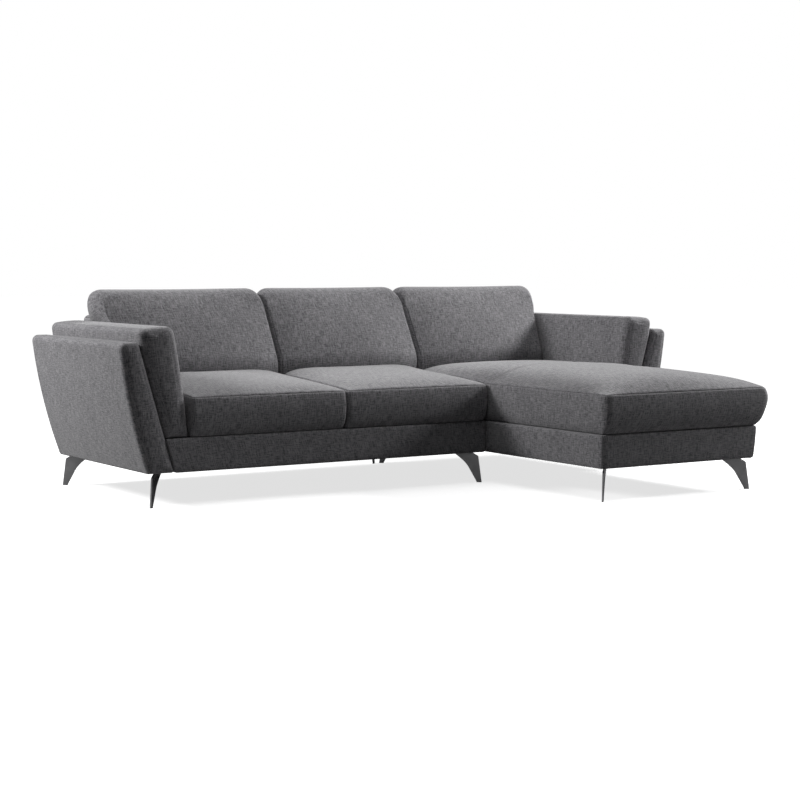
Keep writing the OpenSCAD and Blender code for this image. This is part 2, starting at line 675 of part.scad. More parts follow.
module loveseat_springs() color(steel_grey) for (x = love_springs_x)
    translate([x, love_spring_y, spring_rail_top + clip_wall + fit]) rotate([0, 0, 90]) spring(love_spring_l);
module loveseat_spring_clips() color(black) for (x = love_springs_x)
    translate([x, love_spring_y, spring_rail_top]) rotate([0, 0, 90]) clip_pair(love_spring_l);
module chaise_springs() color(steel_grey) for (s = chaise_springs_at)
    translate([chaise_left_x - clip_in, s[0], spring_rail_top + clip_wall + fit]) spring(s[1]);
module chaise_spring_clips() color(black) for (s = chaise_springs_at)
    translate([chaise_left_x - clip_in, s[0], spring_rail_top]) clip_pair(s[1]);

// Two-seat module, base
love_wood_x = love_side_x - cover_t;
module loveseat_front_rail() color(wood_tan) block([-arm_rail_x, front_y + cover_t, rail_z],
    [love_wood_x, front_y + cover_t + rail_t, spring_rail_top]);
module loveseat_deck_rail() color(wood_tan)
    block([-arm_rail_x + rail_t, deck_rail_y, rail_z], [love_wood_x - rail_t, deck_end_y, spring_rail_top]);
module loveseat_back_rail() color(wood_tan)
    block([-arm_rail_x, back_rail_y, rail_z], [love_wood_x, back_rail_y + rail_t, deck_low_z]);
module loveseat_side_rails() color(wood_tan) difference() {
    for (x = [-arm_rail_x, love_wood_x - rail_t])
        block([x, front_y + cover_t + rail_t, rail_z], [x + rail_t, back_rail_y, deck_low_z]);
    mirrored(-1) arm_bolt_row(bolt_d + 2 * fit, false);
}
module loveseat_cross_rail() color(wood_tan)
    block([seat_line_x - rail_t / 2, front_y + cover_t + rail_t, rail_z],
        [seat_line_x + rail_t / 2, deck_rail_y, deck_low_z]);
module loveseat_corner_blocks() corner_blocks(love_corners);
module loveseat_deck() color(fabric_grey)
    block([-arm_rail_x, front_y + cover_t, deck_low_z], [love_wood_x, deck_end_y, deck_z]);

// Outline of the left end of the two-seat base, where it meets the arm panel
module love_band_end() polygon([[-arm_rail_x, leg_h], [-arm_rail_x, deck_z],
    [-seam_x(deck_z) + fit, deck_z], [-seam_x(leg_h) + fit, leg_h]]);
module love_band(y) color(fabric_grey) along_y(y, y + cover_t) polygon([
    [-seam_x(leg_h) + fit, leg_h], [love_side_x, leg_h],
    [love_side_x, deck_z], [-seam_x(deck_z) + fit, deck_z]]);
module loveseat_front_band() love_band(front_y);
module loveseat_side_bands() color(fabric_grey) difference() {
    union() {
        along_y(front_y + cover_t, rear_y - cover_t) love_band_end();
        block([love_wood_x, front_y + cover_t, leg_h], [love_side_x, rear_y - cover_t, deck_z]);
    }
    mirrored(-1) arm_bolt_row(bolt_d + 2 * fit, false);
}
module loveseat_rear_band() love_band(rear_y - cover_t);

// Holes for the leg plates in a dust cover
module plate_holes(corners) for (c = corners) at_corner(c)
    block([plate_edge - fit, plate_edge - fit, leg_h - over],
        [plate_edge + plate_side + fit, plate_edge + plate_side + fit, leg_h + dust_t + over]);
module loveseat_dust_cover() color(black) difference() {
    block([-arm_rail_x, front_y + cover_t, leg_h], [love_wood_x, rear_y - cover_t, leg_h + dust_t]);
    plate_holes(love_corners);
}

// Back of either module, between x0 and x1. A post stands in front of the back rail and over the corner
// block, and its front follows the slope.
block_front_y = rear_y - cover_t - rail_t - block_l - fit;
post_front_y = deck_end_y + fit;
post_front_z = deck_z - (slope_y(deck_z, post_front_t) - post_front_y) / tan(rake);
module back_post(x) along_x(x, x + post_t) polygon([
    [post_front_y, rail_z], [block_front_y, rail_z], [block_front_y, block_z + block_t + fit],
    [back_rail_y - fit, block_z + block_t + fit], [back_rail_y - fit, deck_low_z + fit],
    [rear_y - cover_t - fit, deck_low_z + fit], [rear_y - cover_t - fit, deck_z + fit],
    [back_wood_y(deck_z), deck_z + fit], [back_wood_y(post_top_z), post_top_z],
    [slope_y(post_top_z, post_front_t), post_top_z], [post_front_y, post_front_z]]);
module back_posts(xs) color(wood_tan) for (x = xs) back_post(x);
// The top rail stays behind the round edge of the inside back
top_rail_in = 8;
module top_rail(x0, x1) color(wood_tan)
    block([x0, slope_y(post_top_z, post_front_t) + top_rail_in, post_top_z],
        [x1, back_wood_y(post_top_z), post_top_z + top_rail_h]);
strap_count = 4;
strap_low = 60;
module back_straps(x0, x1) color(black) on_slope() for (i = [0:strap_count - 1])
    translate([x0, inside_back_t + fit, strap_low + i * strap_step]) cube([x1 - x0, strap_t, strap_w]);

// Region between the pads and the module joint, which the back keeps to
past = 100;
module love_back_region() along_y(foot_y - over, rear_y + past) polygon([
    [-pad_inner_x(deck_z) + pad_bulge, deck_z], [love_side_x, deck_z],
    [love_side_x, back_h + over], [-pad_inner_x(back_h) + pad_bulge, back_h + over]]);
module chaise_back_region() along_y(foot_y - over, rear_y + past) polygon([
    [chaise_side_x, deck_z], [pad_inner_x(deck_z) - pad_bulge, deck_z],
    [pad_inner_x(back_h) - pad_bulge, back_h + over], [chaise_side_x, back_h + over]]);

back_roll_r = 22;
roll_steps = 6;
module inside_back_bar() along_x(-inner_x - past, inner_x + past) {
    roll_z = back_h - back_roll_r;
    roll_y = slope_y(roll_z, back_roll_r);
    arc = [for (s = [0:roll_steps]) let (t = 180 - rake - (90 - rake) * s / roll_steps)
        [roll_y + back_roll_r * cos(t), roll_z + back_roll_r * sin(t)]];
    low_roof = back_h - top_pad_t;
    polygon(concat([[slope_y(deck_z, 0), deck_z + fit]], arc, [
        [back_wood_y(back_h), back_h], [back_wood_y(low_roof), low_roof],
        [slope_y(low_roof, inside_back_t), low_roof], [slope_y(deck_z, inside_back_t), deck_z + fit]]));
}
module outside_back_bar() translate([0, rear_face_y(deck_z + fit), deck_z + fit]) rotate([-rear_lean, 0, 0])
    translate([-inner_x - past, -outside_back_t, 0])
        cube([2 * (inner_x + past), outside_back_t, (back_h - deck_z - fit) / cos(rear_lean)]);

love_post_x = [-inner_x + fit, seat_line_x - post_t / 2, love_wood_x - rail_t - post_t];
module loveseat_back_posts() back_posts(love_post_x);
module loveseat_top_rail() top_rail(love_post_x[0], love_post_x[2] + post_t);
module loveseat_back_straps() back_straps(love_post_x[0], love_post_x[2] + post_t);
module loveseat_inside_back() color(fabric_grey) intersection() {
    inside_back_bar();
    love_back_region();
}
module loveseat_outside_back() color(fabric_grey) intersection() {
    outside_back_bar();
    love_back_region();
}

// Chaise module, base
module chaise_front_rail() color(wood_tan)
    block([chaise_wood_x, chaise_y + cover_t, rail_z], [wing_rail_x, chaise_front_rail_y, deck_low_z]);
module chaise_deck_rail() color(wood_tan)
    block([chaise_left_x, deck_rail_y, rail_z], [arm_rail_x - rail_t, deck_end_y, deck_low_z]);
module chaise_back_rail() color(wood_tan)
    block([chaise_wood_x, back_rail_y, rail_z], [arm_rail_x, back_rail_y + rail_t, deck_low_z]);
module chaise_side_rails() color(wood_tan) difference() {
    union() {
        for (side = [[chaise_wood_x, chaise_front_rail_y, back_rail_y],
                [wing_rail_x - rail_t, chaise_front_rail_y, front_y - fit],
                [arm_rail_x - rail_t, front_y, back_rail_y]])
            block([side[0], side[1], rail_z], [side[0] + rail_t, side[2], spring_rail_top]);
    }
    arm_bolt_row(bolt_d + 2 * fit, false);
}
module chaise_cross_rail() color(wood_tan)
    block([chaise_left_x, front_y - rail_t, rail_z], [wing_rail_x - rail_t, front_y, deck_low_z]);
module chaise_corner_blocks() corner_blocks(chaise_corners);
module chaise_deck() color(fabric_grey) translate([0, 0, deck_low_z]) linear_extrude(deck_t) polygon([
    [chaise_wood_x, chaise_y + cover_t], [wing_rail_x, chaise_y + cover_t],
    [wing_rail_x, front_y - fit], [arm_rail_x, front_y - fit],
    [arm_rail_x, deck_end_y], [chaise_wood_x, deck_end_y]]);
module chaise_front_band() color(fabric_grey) along_y(chaise_y, chaise_y + cover_t) polygon([
    [chaise_side_x, leg_h], [wing_foot_x, leg_h], [wing_deck_x, deck_z], [chaise_side_x, deck_z]]);
module chaise_side_bands() color(fabric_grey) difference() {
    union() {
        block([chaise_side_x, chaise_y + cover_t, leg_h], [chaise_wood_x, rear_y - cover_t, deck_z]);
        along_y(chaise_y + cover_t, front_y - fit) polygon([
            [wing_rail_x, leg_h], [wing_foot_x, leg_h], [wing_deck_x, deck_z], [wing_rail_x, deck_z]]);
        mirrored(-1) along_y(front_y, rear_y - cover_t) love_band_end();
    }
    arm_bolt_row(bolt_d + 2 * fit, false);
}
module chaise_rear_band() color(fabric_grey) along_y(rear_y - cover_t, rear_y) polygon([
    [chaise_side_x, leg_h], [seam_x(leg_h) - fit, leg_h],
    [seam_x(deck_z) - fit, deck_z], [chaise_side_x, deck_z]]);
module chaise_dust_cover() color(black) difference() {
    union() {
        block([chaise_wood_x, chaise_y + cover_t, leg_h], [wing_rail_x, front_y - fit, leg_h + dust_t]);
        block([chaise_wood_x, front_y - over, leg_h], [arm_rail_x, rear_y - cover_t, leg_h + dust_t]);
    }
    plate_holes(chaise_corners);
}

chaise_post_x = [chaise_left_x, inner_x - fit - post_t];
module chaise_back_posts() back_posts(chaise_post_x);
module chaise_top_rail() top_rail(chaise_post_x[0], chaise_post_x[1] + post_t);
module chaise_back_straps() back_straps(chaise_post_x[0], chaise_post_x[1] + post_t);
module chaise_inside_back() color(fabric_grey) intersection() {
    inside_back_bar();
    chaise_back_region();
}
module chaise_outside_back() color(fabric_grey) intersection() {
    outside_back_bar();
    chaise_back_region();
}

// Connectors under the joint: tongues on the chaise slide into sockets on the two-seat module
connector_in = 190;
connector_ys = [front_y + connector_in, rear_y - connector_in];
connector_gap = 0.3;
connector_edge = 4;
connector_l = 62;
plate_ear = 12;
nose_l = 10;
tongue_z = leg_h - 2 * plate_t;
socket_half = tongue_w / 2 + connector_gap;

module connector_socket() difference() {
    block([-connector_l, -socket_half - socket_wall, tongue_z - connector_gap - socket_wall],
        [0, socket_half + socket_wall, leg_h]);
    block([-connector_l - over, -socket_half, tongue_z - connector_gap],
        [over, socket_half, leg_h - plate_t + connector_gap]);
}
module connector_tongue() {
    plate_half = tongue_w / 2 + plate_ear;
    block([0, -plate_half, leg_h - plate_t], [connector_l, plate_half, leg_h]);
    tip = -tongue_l - connector_edge;
    translate([0, 0, tongue_z]) linear_extrude(plate_t) polygon([
        [connector_l, -tongue_w / 2], [connector_l, tongue_w / 2], [tip + nose_l, tongue_w / 2],
        [tip, tongue_w / 4], [tip, -tongue_w / 4], [tip + nose_l, -tongue_w / 2]]);
}
module connector_sockets() color(steel_grey) for (y = connector_ys)
    translate([love_side_x - connector_edge, y, 0]) connector_socket();
module connector_tongues() color(steel_grey) for (y = connector_ys)
    translate([chaise_side_x + connector_edge, y, 0]) connector_tongue();

// One line for each node
loveseat_front_rail();
loveseat_deck_rail();
loveseat_back_rail();
loveseat_side_rails();
loveseat_cross_rail();
loveseat_corner_blocks();
loveseat_springs();
loveseat_spring_clips();
loveseat_deck();
loveseat_front_band();
loveseat_side_bands();
loveseat_rear_band();
loveseat_dust_cover();
loveseat_back_posts();
loveseat_top_rail();
loveseat_back_straps();
loveseat_inside_back();
loveseat_outside_back();
legs(-1);  // loveseat_legs
leg_bolts(-1);  // loveseat_leg_bolts
glides(-1);  // loveseat_glides
connector_sockets();
arm_frame(-1);  // left_arm_frame
arm_panel(-1);  // left_arm_panel
arm_pad(-1);  // left_arm_pad
pad_board(-1);  // left_pad_board
arm_bolts(-1);  // left_arm_bolts
chaise_front_rail();
chaise_deck_rail();
chaise_back_rail();
chaise_side_rails();
chaise_cross_rail();
chaise_corner_blocks();
chaise_springs();
chaise_spring_clips();
chaise_deck();
chaise_front_band();
chaise_side_bands();
chaise_rear_band();
chaise_dust_cover();
chaise_back_posts();
chaise_top_rail();
chaise_back_straps();
chaise_inside_back();
chaise_outside_back();
legs(1);  // chaise_legs
leg_bolts(1);  // chaise_leg_bolts
glides(1);  // chaise_glides
connector_tongues();
arm_frame(1);  // right_arm_frame
arm_panel(1);  // right_arm_panel
arm_pad(1);  // right_arm_pad
pad_board(1);  // right_pad_board
arm_bolts(1);  // right_arm_bolts
seat_cushion(-inner_x, seat_line_x);  // left_seat_cushion
seat_cushion(seat_line_x, joint_x);  // middle_seat_cushion
chaise_cushion();
back_cushion(-inner_x, seat_line_x, 1, 0);  // left_back_cushion
back_cushion(seat_line_x, joint_x, 0, 0);  // middle_back_cushion
back_cushion(joint_x, inner_x, 0, 1);  // right_back_cushion
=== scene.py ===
"""Grey L-shaped sectional sofa: its upholstery, legs and finishes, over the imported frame.

Lengths are metres. X runs along the back, Y from the foot of the chaise to the back, Z up from the floor.
Every soft piece is a closed grid: a front grid, a rear grid, and rings of the grid's edge between them.
"""

import json
from math import cos, pi, radians, sin, tan
from types import SimpleNamespace

import bpy
import numpy as np
from bpy.props import FloatProperty, FloatVectorProperty, PointerProperty
from bpy.types import Operator, Panel, PropertyGroup
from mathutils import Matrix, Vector


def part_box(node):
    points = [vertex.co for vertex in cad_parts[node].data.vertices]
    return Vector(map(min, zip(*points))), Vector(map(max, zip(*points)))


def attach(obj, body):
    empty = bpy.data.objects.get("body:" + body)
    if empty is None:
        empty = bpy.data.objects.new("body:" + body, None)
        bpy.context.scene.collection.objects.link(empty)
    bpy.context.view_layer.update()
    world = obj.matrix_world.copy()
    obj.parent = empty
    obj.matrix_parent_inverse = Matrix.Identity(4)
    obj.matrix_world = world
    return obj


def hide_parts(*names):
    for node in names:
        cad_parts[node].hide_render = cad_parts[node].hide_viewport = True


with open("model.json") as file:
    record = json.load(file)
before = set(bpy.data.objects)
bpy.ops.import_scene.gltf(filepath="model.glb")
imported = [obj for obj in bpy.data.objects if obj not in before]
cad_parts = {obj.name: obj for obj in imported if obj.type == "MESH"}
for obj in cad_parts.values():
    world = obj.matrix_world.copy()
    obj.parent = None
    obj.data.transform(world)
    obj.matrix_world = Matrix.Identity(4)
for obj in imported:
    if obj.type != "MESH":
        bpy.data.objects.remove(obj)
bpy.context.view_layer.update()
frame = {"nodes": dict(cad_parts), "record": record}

bl_info = {
    "name": "L-shaped sectional sofa",
    "version": (1, 0, 0),
    "blender": (4, 5, 0),
    "location": "3D View > Sidebar > Sofa",
    "description": "Builds the upholstery, legs and finishes of an L-shaped sectional sofa",
    "category": "Add Mesh",
}


def length(label, text, value, low, high):
    """A size in metres, with its range."""
    return FloatProperty(
        name=label, description=text, default=value, min=low, max=high, unit="LENGTH", precision=4
    )


def colour(label, text, value):
    """A colour in linear red, green and blue."""
    return FloatVectorProperty(
        name=label, description=text, default=value, size=3, min=0.0, max=1.0, subtype="COLOR"
    )


class SofaSizes(PropertyGroup):
    seat_w: length("Seat width", "Width of each seat of the two-seat module", 0.728, 0.6, 0.85)
    chaise_w: length("Chaise seat width", "Width of the chaise seat, up to the right arm", 0.746, 0.62, 0.9)
    leg_h: length("Leg height", "Height of the base bottom", 0.136, 0.1, 0.18)
    base_h: length("Base height", "Height of the seat deck above the base bottom", 0.139, 0.125, 0.18)
    base_depth: length("Base depth", "Depth of the two-seat base at its bottom edge", 0.938, 0.9, 1.02)
    back_room: length("Back room", "From the sloping back's foot to the rear of the base", 0.288, 0.275, 0.32)
    seat_stop: length("Seat stop", "Room between a seat cushion and the back's foot", 0.088, 0.085, 0.15)
    seam_rise: length("Front seam height", "Front seam of a seat cushion above the deck", 0.162, 0.12, 0.19)
    rear_rise: length("Rear rise", "How much higher the rear edge of a seat cushion is", 0.040, 0.01, 0.06)
    seat_crown: length("Seat crown", "Crown of a seat cushion above its seams", 0.027, 0.008, 0.04)
    chaise_crown: length("Chaise crown", "Height of the chaise's plateau above its seams", 0.079, 0.03, 0.09)
    chaise_rise: length("Chaise rear rise", "How much higher the chaise's rear seam is", 0.026, 0.0, 0.05)
    cushion_nose: length("Cushion nose", "How far a seat cushion swells past the base", 0.022, 0.008, 0.04)
    seam_draw: length("Seam draw", "How far a top seam lies inside the widest line", 0.011, 0.004, 0.018)
    wing_overhang: length("Chaise overhang", "Overhang of the chaise at its open side", 0.078, 0.03, 0.1)
    back_l: length("Back cushion length", "Length of a back cushion along its slope", 0.620, 0.56, 0.68)
    back_border: length("Back border", "Border of a back cushion above the seat", 0.150, 0.12, 0.16)
    back_taper: length("Back taper", "How much thinner the border is at the top", 0.018, 0.0, 0.05)
    left_lean: length("Left lean", "Lean to the right of the left gap in the back", 0.014, 0.0, 0.035)
    right_lean: length("Right lean", "Lean to the right of the right gap in the back", 0.032, 0.0, 0.035)
    back_foot: length("Back foot", "Border of a back cushion behind the seat", 0.060, 0.05, 0.07)
    back_crown: length("Back crown", "Crown on the front of a back cushion", 0.038, 0.02, 0.046)
    back_corner: length("Back corner", "Radius of a back cushion's corners", 0.058, 0.04, 0.08)
    pad_foot: length("Pad foot", "Thickness of the inner arm pad at the seat deck", 0.104, 0.085, 0.13)
    pad_h: length("Pad height", "Height of the inner arm pad above the floor", 0.727, 0.69, 0.78)
    panel_foot: length("Panel foot", "Thickness of the outer arm panel at its foot", 0.121, 0.115, 0.15)
    panel_top: length("Panel top", "Thickness of the outer arm panel at its top", 0.088, 0.075, 0.11)
    panel_h: length("Panel height", "Height of the outer arm panel above the floor", 0.664, 0.62, 0.68)
    panel_bow: length("Panel bow", "How far the panel's outer face bows outward", 0.014, 0.0, 0.025)
    back_h: length("Back height", "Height of the back frame above the floor", 0.745, 0.7, 0.78)
    seam_groove: length("Seam groove", "Depth of a seam between two pieces of cloth", 0.0020, 0.0, 0.005)
    seam_puff: length("Seam puff", "How far the cloth swells beside a seam", 0.0009, 0.0, 0.004)


class SofaColours(PropertyGroup):
    cloth_light: colour("Light yarn", "Lighter yarn of the woven cloth", (0.318, 0.310, 0.322))
    cloth_dark: colour("Dark yarn", "Darker yarn of the woven cloth", (0.082, 0.080, 0.088))
    metal: colour("Legs", "Satin metal of the legs", (0.42, 0.42, 0.43))
    wood: colour("Wood", "Hardwood of the inner frame", (0.52, 0.36, 0.20))
    lining: colour("Lining", "Black cloth under the bases", (0.018, 0.018, 0.019))


# Shape helpers


FAR = 10.0  # seam value of cloth that has no seam near it
SEAMED = ("front", "rear")
HALF_ROUND = (0.07, 0.25, 0.5, 0.75, 0.93)  # where the rings lie through a half round edge
NEAR_DECK = (0.004, 0.010, 0.018)  # stations beside the edges of a deck, in metres
NEAR_PANEL = (0.003, 0.008, 0.016)
TINY = 1e-9  # keeps a length of nothing from dividing


def mix(a, b, t):
    """The value t of the way from a to b."""
    return a + (b - a) * t


def smooth(t):
    """Cubic step: 0 below 0, 1 above 1, and t t (3 - 2 t) between."""
    c = np.clip(t, 0.0, 1.0)
    return c * c * (3 - 2 * c)


def dome(t, power):
    """1 in the middle of 0 to 1, falling to 0 at both ends: one less |2 t - 1| to a power."""
    return 1 - np.abs(2 * t - 1) ** power


def ripple(x, y, seed):
    """A smooth uneven field about 0: five sine waves in plan, with lengths and turns fixed by the seed."""
    turn = np.random.default_rng(seed).uniform(0, 2 * pi, (5, 2))
    field = 0.0
    for k, (way, phase) in enumerate(turn):
        field = field + np.sin((x * cos(way) + y * sin(way)) * (0.8 + 0.55 * k) + phase) / (1 + 0.4 * k)
    return field / 2.2


def spaced(size, cell, near=(0.0015, 0.004, 0.008, 0.014, 0.022, 0.032)):
    """Stations from 0 to 1 along a side: close together at both ends, where the seams are, and even
    between."""
    ends = np.array((0.0, *near))
    count = max(2, int(round((size - 2 * ends[-1]) / cell)))
    middle = np.linspace(ends[-1], size - ends[-1], count + 1)
    return np.concatenate((ends[:-1], middle, size - ends[:-1][::-1])) / size


def rounded(x, y, low, high, r):
    """Rounds the corners of a rectangle in plan: near a corner, a point moves in until its larger offset
    from the corner's square becomes its distance from the corner's centre."""
    mid_x, mid_y = (low[0] + high[0]) / 2, (low[1] + high[1]) / 2
    ax = np.abs(x - mid_x) - ((high[0] - low[0]) / 2 - r)
    ay = np.abs(y - mid_y) - ((high[1] - low[1]) / 2 - r)
    corner = (ax > 0) & (ay > 0)
    reach = np.where(corner, np.maximum(ax, ay) / np.maximum(np.hypot(ax, ay), TINY), 1.0)
    return (
        x + np.where(corner, np.sign(x - mid_x) * ax * (reach - 1), 0.0),
        y + np.where(corner, np.sign(y - mid_y) * ay * (reach - 1), 0.0),
    )


def arc_length(points, axis):
    """Distance from the first point along an axis of a grid of points."""
    step = np.linalg.norm(np.diff(points, axis=axis), axis=-1)
    start = np.zeros_like(np.take(step, [0], axis=axis))
    return np.concatenate((start, np.cumsum(step, axis=axis)), axis=axis)


def resampled(line, share):
    """Points at shares of the length of a line of points."""
    run = arc_length(line, 0)
    at = np.asarray(share) * run[-1]
    return np.stack([np.interp(at, run, line[:, k]) for k in range(line.shape[1])], -1)


def edge_of(rows, cols):
    """Rows and columns of the edge of a grid, in order round it."""
    across, along = np.arange(cols - 1), np.arange(rows - 1)
    r = np.r_[0 * across, along, 0 * across + rows - 1, rows - 1 - along]
    c = np.r_[across, 0 * along + cols - 1, cols - 1 - across, 0 * along]
    return r, c


def bent_corner(a, b, c, reach, steps):
    """A rounded corner at b between a and c: the quadratic curve that leaves one side and meets the
    other at a given distance from b. The points may be whole stacks of corners."""
    back = (a - b) / np.linalg.norm(a - b, axis=-1, keepdims=True)
    on = (c - b) / np.linalg.norm(c - b, axis=-1, keepdims=True)
    t = np.linspace(0, 1, steps + 1)[:, None]
    p, q = (b + back * reach)[..., None, :], (b + on * reach)[..., None, :]
    return (1 - t) ** 2 * p + 2 * t * (1 - t) * b[..., None, :] + t * t * q


# Closed surfaces


def facing_out(points, quads):
    """Whether the faces point outwards: the volume that they close isn't negative."""
    a, b, c, d = (points[quads[:, k]] for k in range(4))
    volume = np.einsum("ij,ij->", a, np.cross(b, c)) + np.einsum("ij,ij->", a, np.cross(c, d))
    return volume >= 0


def normals_of(points, quads):
    """Normal at each point: the sum of the cross products of the diagonals of the faces round it."""
    face = np.cross(points[quads[:, 2]] - points[quads[:, 0]], points[quads[:, 3]] - points[quads[:, 1]])
    normal = np.zeros_like(points)
    for k in range(4):
        np.add.at(normal, quads[:, k], face)
    return normal / np.maximum(np.linalg.norm(normal, axis=1, keepdims=True), 1e-12)


def closed_grid(front, rings, rear, turned=False, seams=SEAMED):
    """A closed form from a front grid, the rings between (from the rear's edge to the front's), and a
    rear grid. The weave's map is in metres: along the rows and columns of the grids, and on the rings
    along each of the four sides from its middle. The turned form is a slab along Y, whose ends are mapped
    flat in X and Z. The seam value is the distance over the surface from the nearest seam. The share runs
    from 0 at the rear to 1 at the front."""
    rows, cols = front.shape[:2]
    grid = np.arange(rows * cols).reshape(rows, cols)
    cell = np.stack((grid[:-1, :-1], grid[:-1, 1:], grid[1:, 1:], grid[1:, :-1]), -1).reshape(-1, 4)
    r, c = edge_of(rows, cols)
    around = len(r)
    inner = 2 * grid.size + np.arange(len(rings) * around).reshape(-1, around)
    level = np.vstack((grid.size + grid[r, c], inner, grid[r, c]))
    beside = np.roll(level, -1, axis=1)
    side = np.stack((level[:-1], beside[:-1], beside[1:], level[1:]), -1).reshape(-1, 4)
    quads = np.vstack((cell, cell[:, ::-1] + grid.size, side))
    points = np.vstack((front.reshape(-1, 3), rear.reshape(-1, 3), np.asarray(rings).reshape(-1, 3)))

    maps, gaps = [], []
    for face, seamed in ((front, "front" in seams), (rear, "rear" in seams)):
        along, up = arc_length(face, 1), arc_length(face, 0)
        u = along - along[:, cols // 2][:, None]
        v = up - up[rows // 2]
        maps.append((face[..., (0, 2)] if turned else np.stack((u, v), -1)).reshape(-1, 2))
        inside = np.minimum.reduce((along, along[:, -1:] - along, up, up[-1:] - up))
        gaps.append((inside if seamed else np.full(inside.shape, FAR)).ravel())
    stack = points[level]
    closed = np.concatenate((stack, stack[:, :1]), 1)
    run, rise = arc_length(closed, 1), arc_length(stack, 0)
    rise = np.concatenate((rise, rise[:, :1]), 1)
    ends = np.array((0, cols - 1, cols + rows - 2, 2 * cols + rows - 3, around))
    side_of = np.searchsorted(ends, np.arange(around), side="right") - 1
    middle = run[:, (ends[side_of] + ends[side_of + 1]) // 2]
    left, right = run[:, :-1] - middle, run[:, 1:] - middle
    tall_left, tall_right = rise[:, :-1], rise[:, 1:]
    from_front = rise[-1:] - rise if "front" in seams else np.full(rise.shape, FAR)
    from_rear = rise if "rear" in seams else np.full(rise.shape, FAR)
    gaps.append(np.minimum(from_front, from_rear)[1:-1, :-1].ravel())
    across = np.stack((left[:-1], right[:-1], right[1:], left[1:]), -1).reshape(-1, 4)
    upward = np.stack((tall_left[:-1], tall_right[:-1], tall_right[1:], tall_left[1:]), -1).reshape(-1, 4)
    corner_maps = np.stack((upward, across) if turned else (across, upward), -1)
    flat = np.vstack(maps)
    uv = np.vstack((flat[cell], flat[cell[:, ::-1] + grid.size], corner_maps))
    share = np.repeat(np.arange(1, len(rings) + 1) / (len(rings) + 1), around)
    share = np.concatenate((np.ones(grid.size), np.zeros(grid.size), share))
    return SimpleNamespace(points=points, quads=quads, uv=uv, seam=np.concatenate(gaps), share=share)


def between(place, su, sv, heights, seams=()):
    """The closed form of place(u, v, w): its front is at w = 1 and its rear at w = 0, over the stations su
    and sv, and a ring of their edge lies at each height between."""
    front, rear = (place(su[None, :], sv[:, None], w) for w in (1.0, 0.0))
    r, c = edge_of(len(sv), len(su))
    return closed_grid(front, [place(su[c], sv[r], w) for w in heights], rear, seams=seams)


def closed_ring(stack, seam_at=()):
    """A closed tube: a stack of closed rings whose last ring joins the first. stack has the rings, the
    points of each, and their coordinates. seam_at gives the numbers of the points that lie on a seam."""
    rings, around = stack.shape[:2]
    level = np.arange(rings * around).reshape(rings, around)
    up, beside = np.roll(level, -1, axis=0), np.roll(level, -1, axis=1)
    quads = np.stack((level, beside, np.roll(up, -1, axis=1), up), -1).reshape(-1, 4)
    wide = np.concatenate((stack, stack[:, :1]), 1)
    tall = np.concatenate((stack, stack[:1]), 0)
    run, rise = arc_length(wide, 1), arc_length(tall, 0)
    run = np.concatenate((run, run[:1]), 0)
    rise = np.concatenate((rise, rise[:, :1]), 1)
    ring_map = np.stack((run, rise), -1)
    uv = np.stack((ring_map[:-1, :-1], ring_map[:-1, 1:], ring_map[1:, 1:], ring_map[1:, :-1]), 2)
    gap = np.full((rings, around), FAR)
    for at in seam_at:
        gap = np.minimum(gap, np.abs(run[:-1, :-1] - run[:-1, at][:, None]))
    return SimpleNamespace(
        points=stack.reshape(-1, 3), quads=quads, uv=uv.reshape(-1, 4, 2), seam=gap.ravel()
    )


def joined(forms):
    """Several forms as one."""
    start = np.cumsum([0] + [len(f.points) for f in forms[:-1]])
    return SimpleNamespace(
        points=np.vstack([f.points for f in forms]),
        quads=np.vstack([f.quads + s for f, s in zip(forms, start)]),
        uv=np.vstack([f.uv for f in forms]),
        seam=np.concatenate([f.seam for f in forms]),
    )


def sewn(form, sizes, seed=1):
    """Draws the cloth in at its seams and lets it swell beside them: each point moves along its normal by
    the puff times a bell 9 mm from the seam, less the groove times a narrow bell at the seam, with a
    shallow unevenness along it."""
    puff_at, puff_wide, groove_wide, uneven, waves = 0.009, 0.006, 0.0021, 0.35, 60
    normal = normals_of(form.points, form.quads)
    if not facing_out(form.points, form.quads):
        normal = -normal
    gap = form.seam
    wave = ripple((form.points[:, 0] + form.points[:, 2]) * waves, form.points[:, 1] * waves, seed)
    puff = sizes.seam_puff * np.exp(-(((gap - puff_at) / puff_wide) ** 2)) * (1 + uneven * wave)
    groove = sizes.seam_groove * np.exp(-((gap / groove_wide) ** 2))
    form.points = form.points + normal * (puff - groove)[:, None]
    return form


def evened(values, quads, rounds):
    """Spreads values over a mesh: in each round a point takes half its own value and half the mean of its
    neighbours along the edges."""
    edges = np.concatenate([quads[:, (k, (k + 1) % 4)] for k in range(4)])
    count = np.bincount(edges[:, 0], minlength=len(values))[:, None]
    for _ in range(rounds):
        near = np.stack([np.bincount(edges[:, 0], v[edges[:, 1]], len(values)) for v in values.T], -1)
        values = 0.5 * values + 0.5 * near / count
    return values


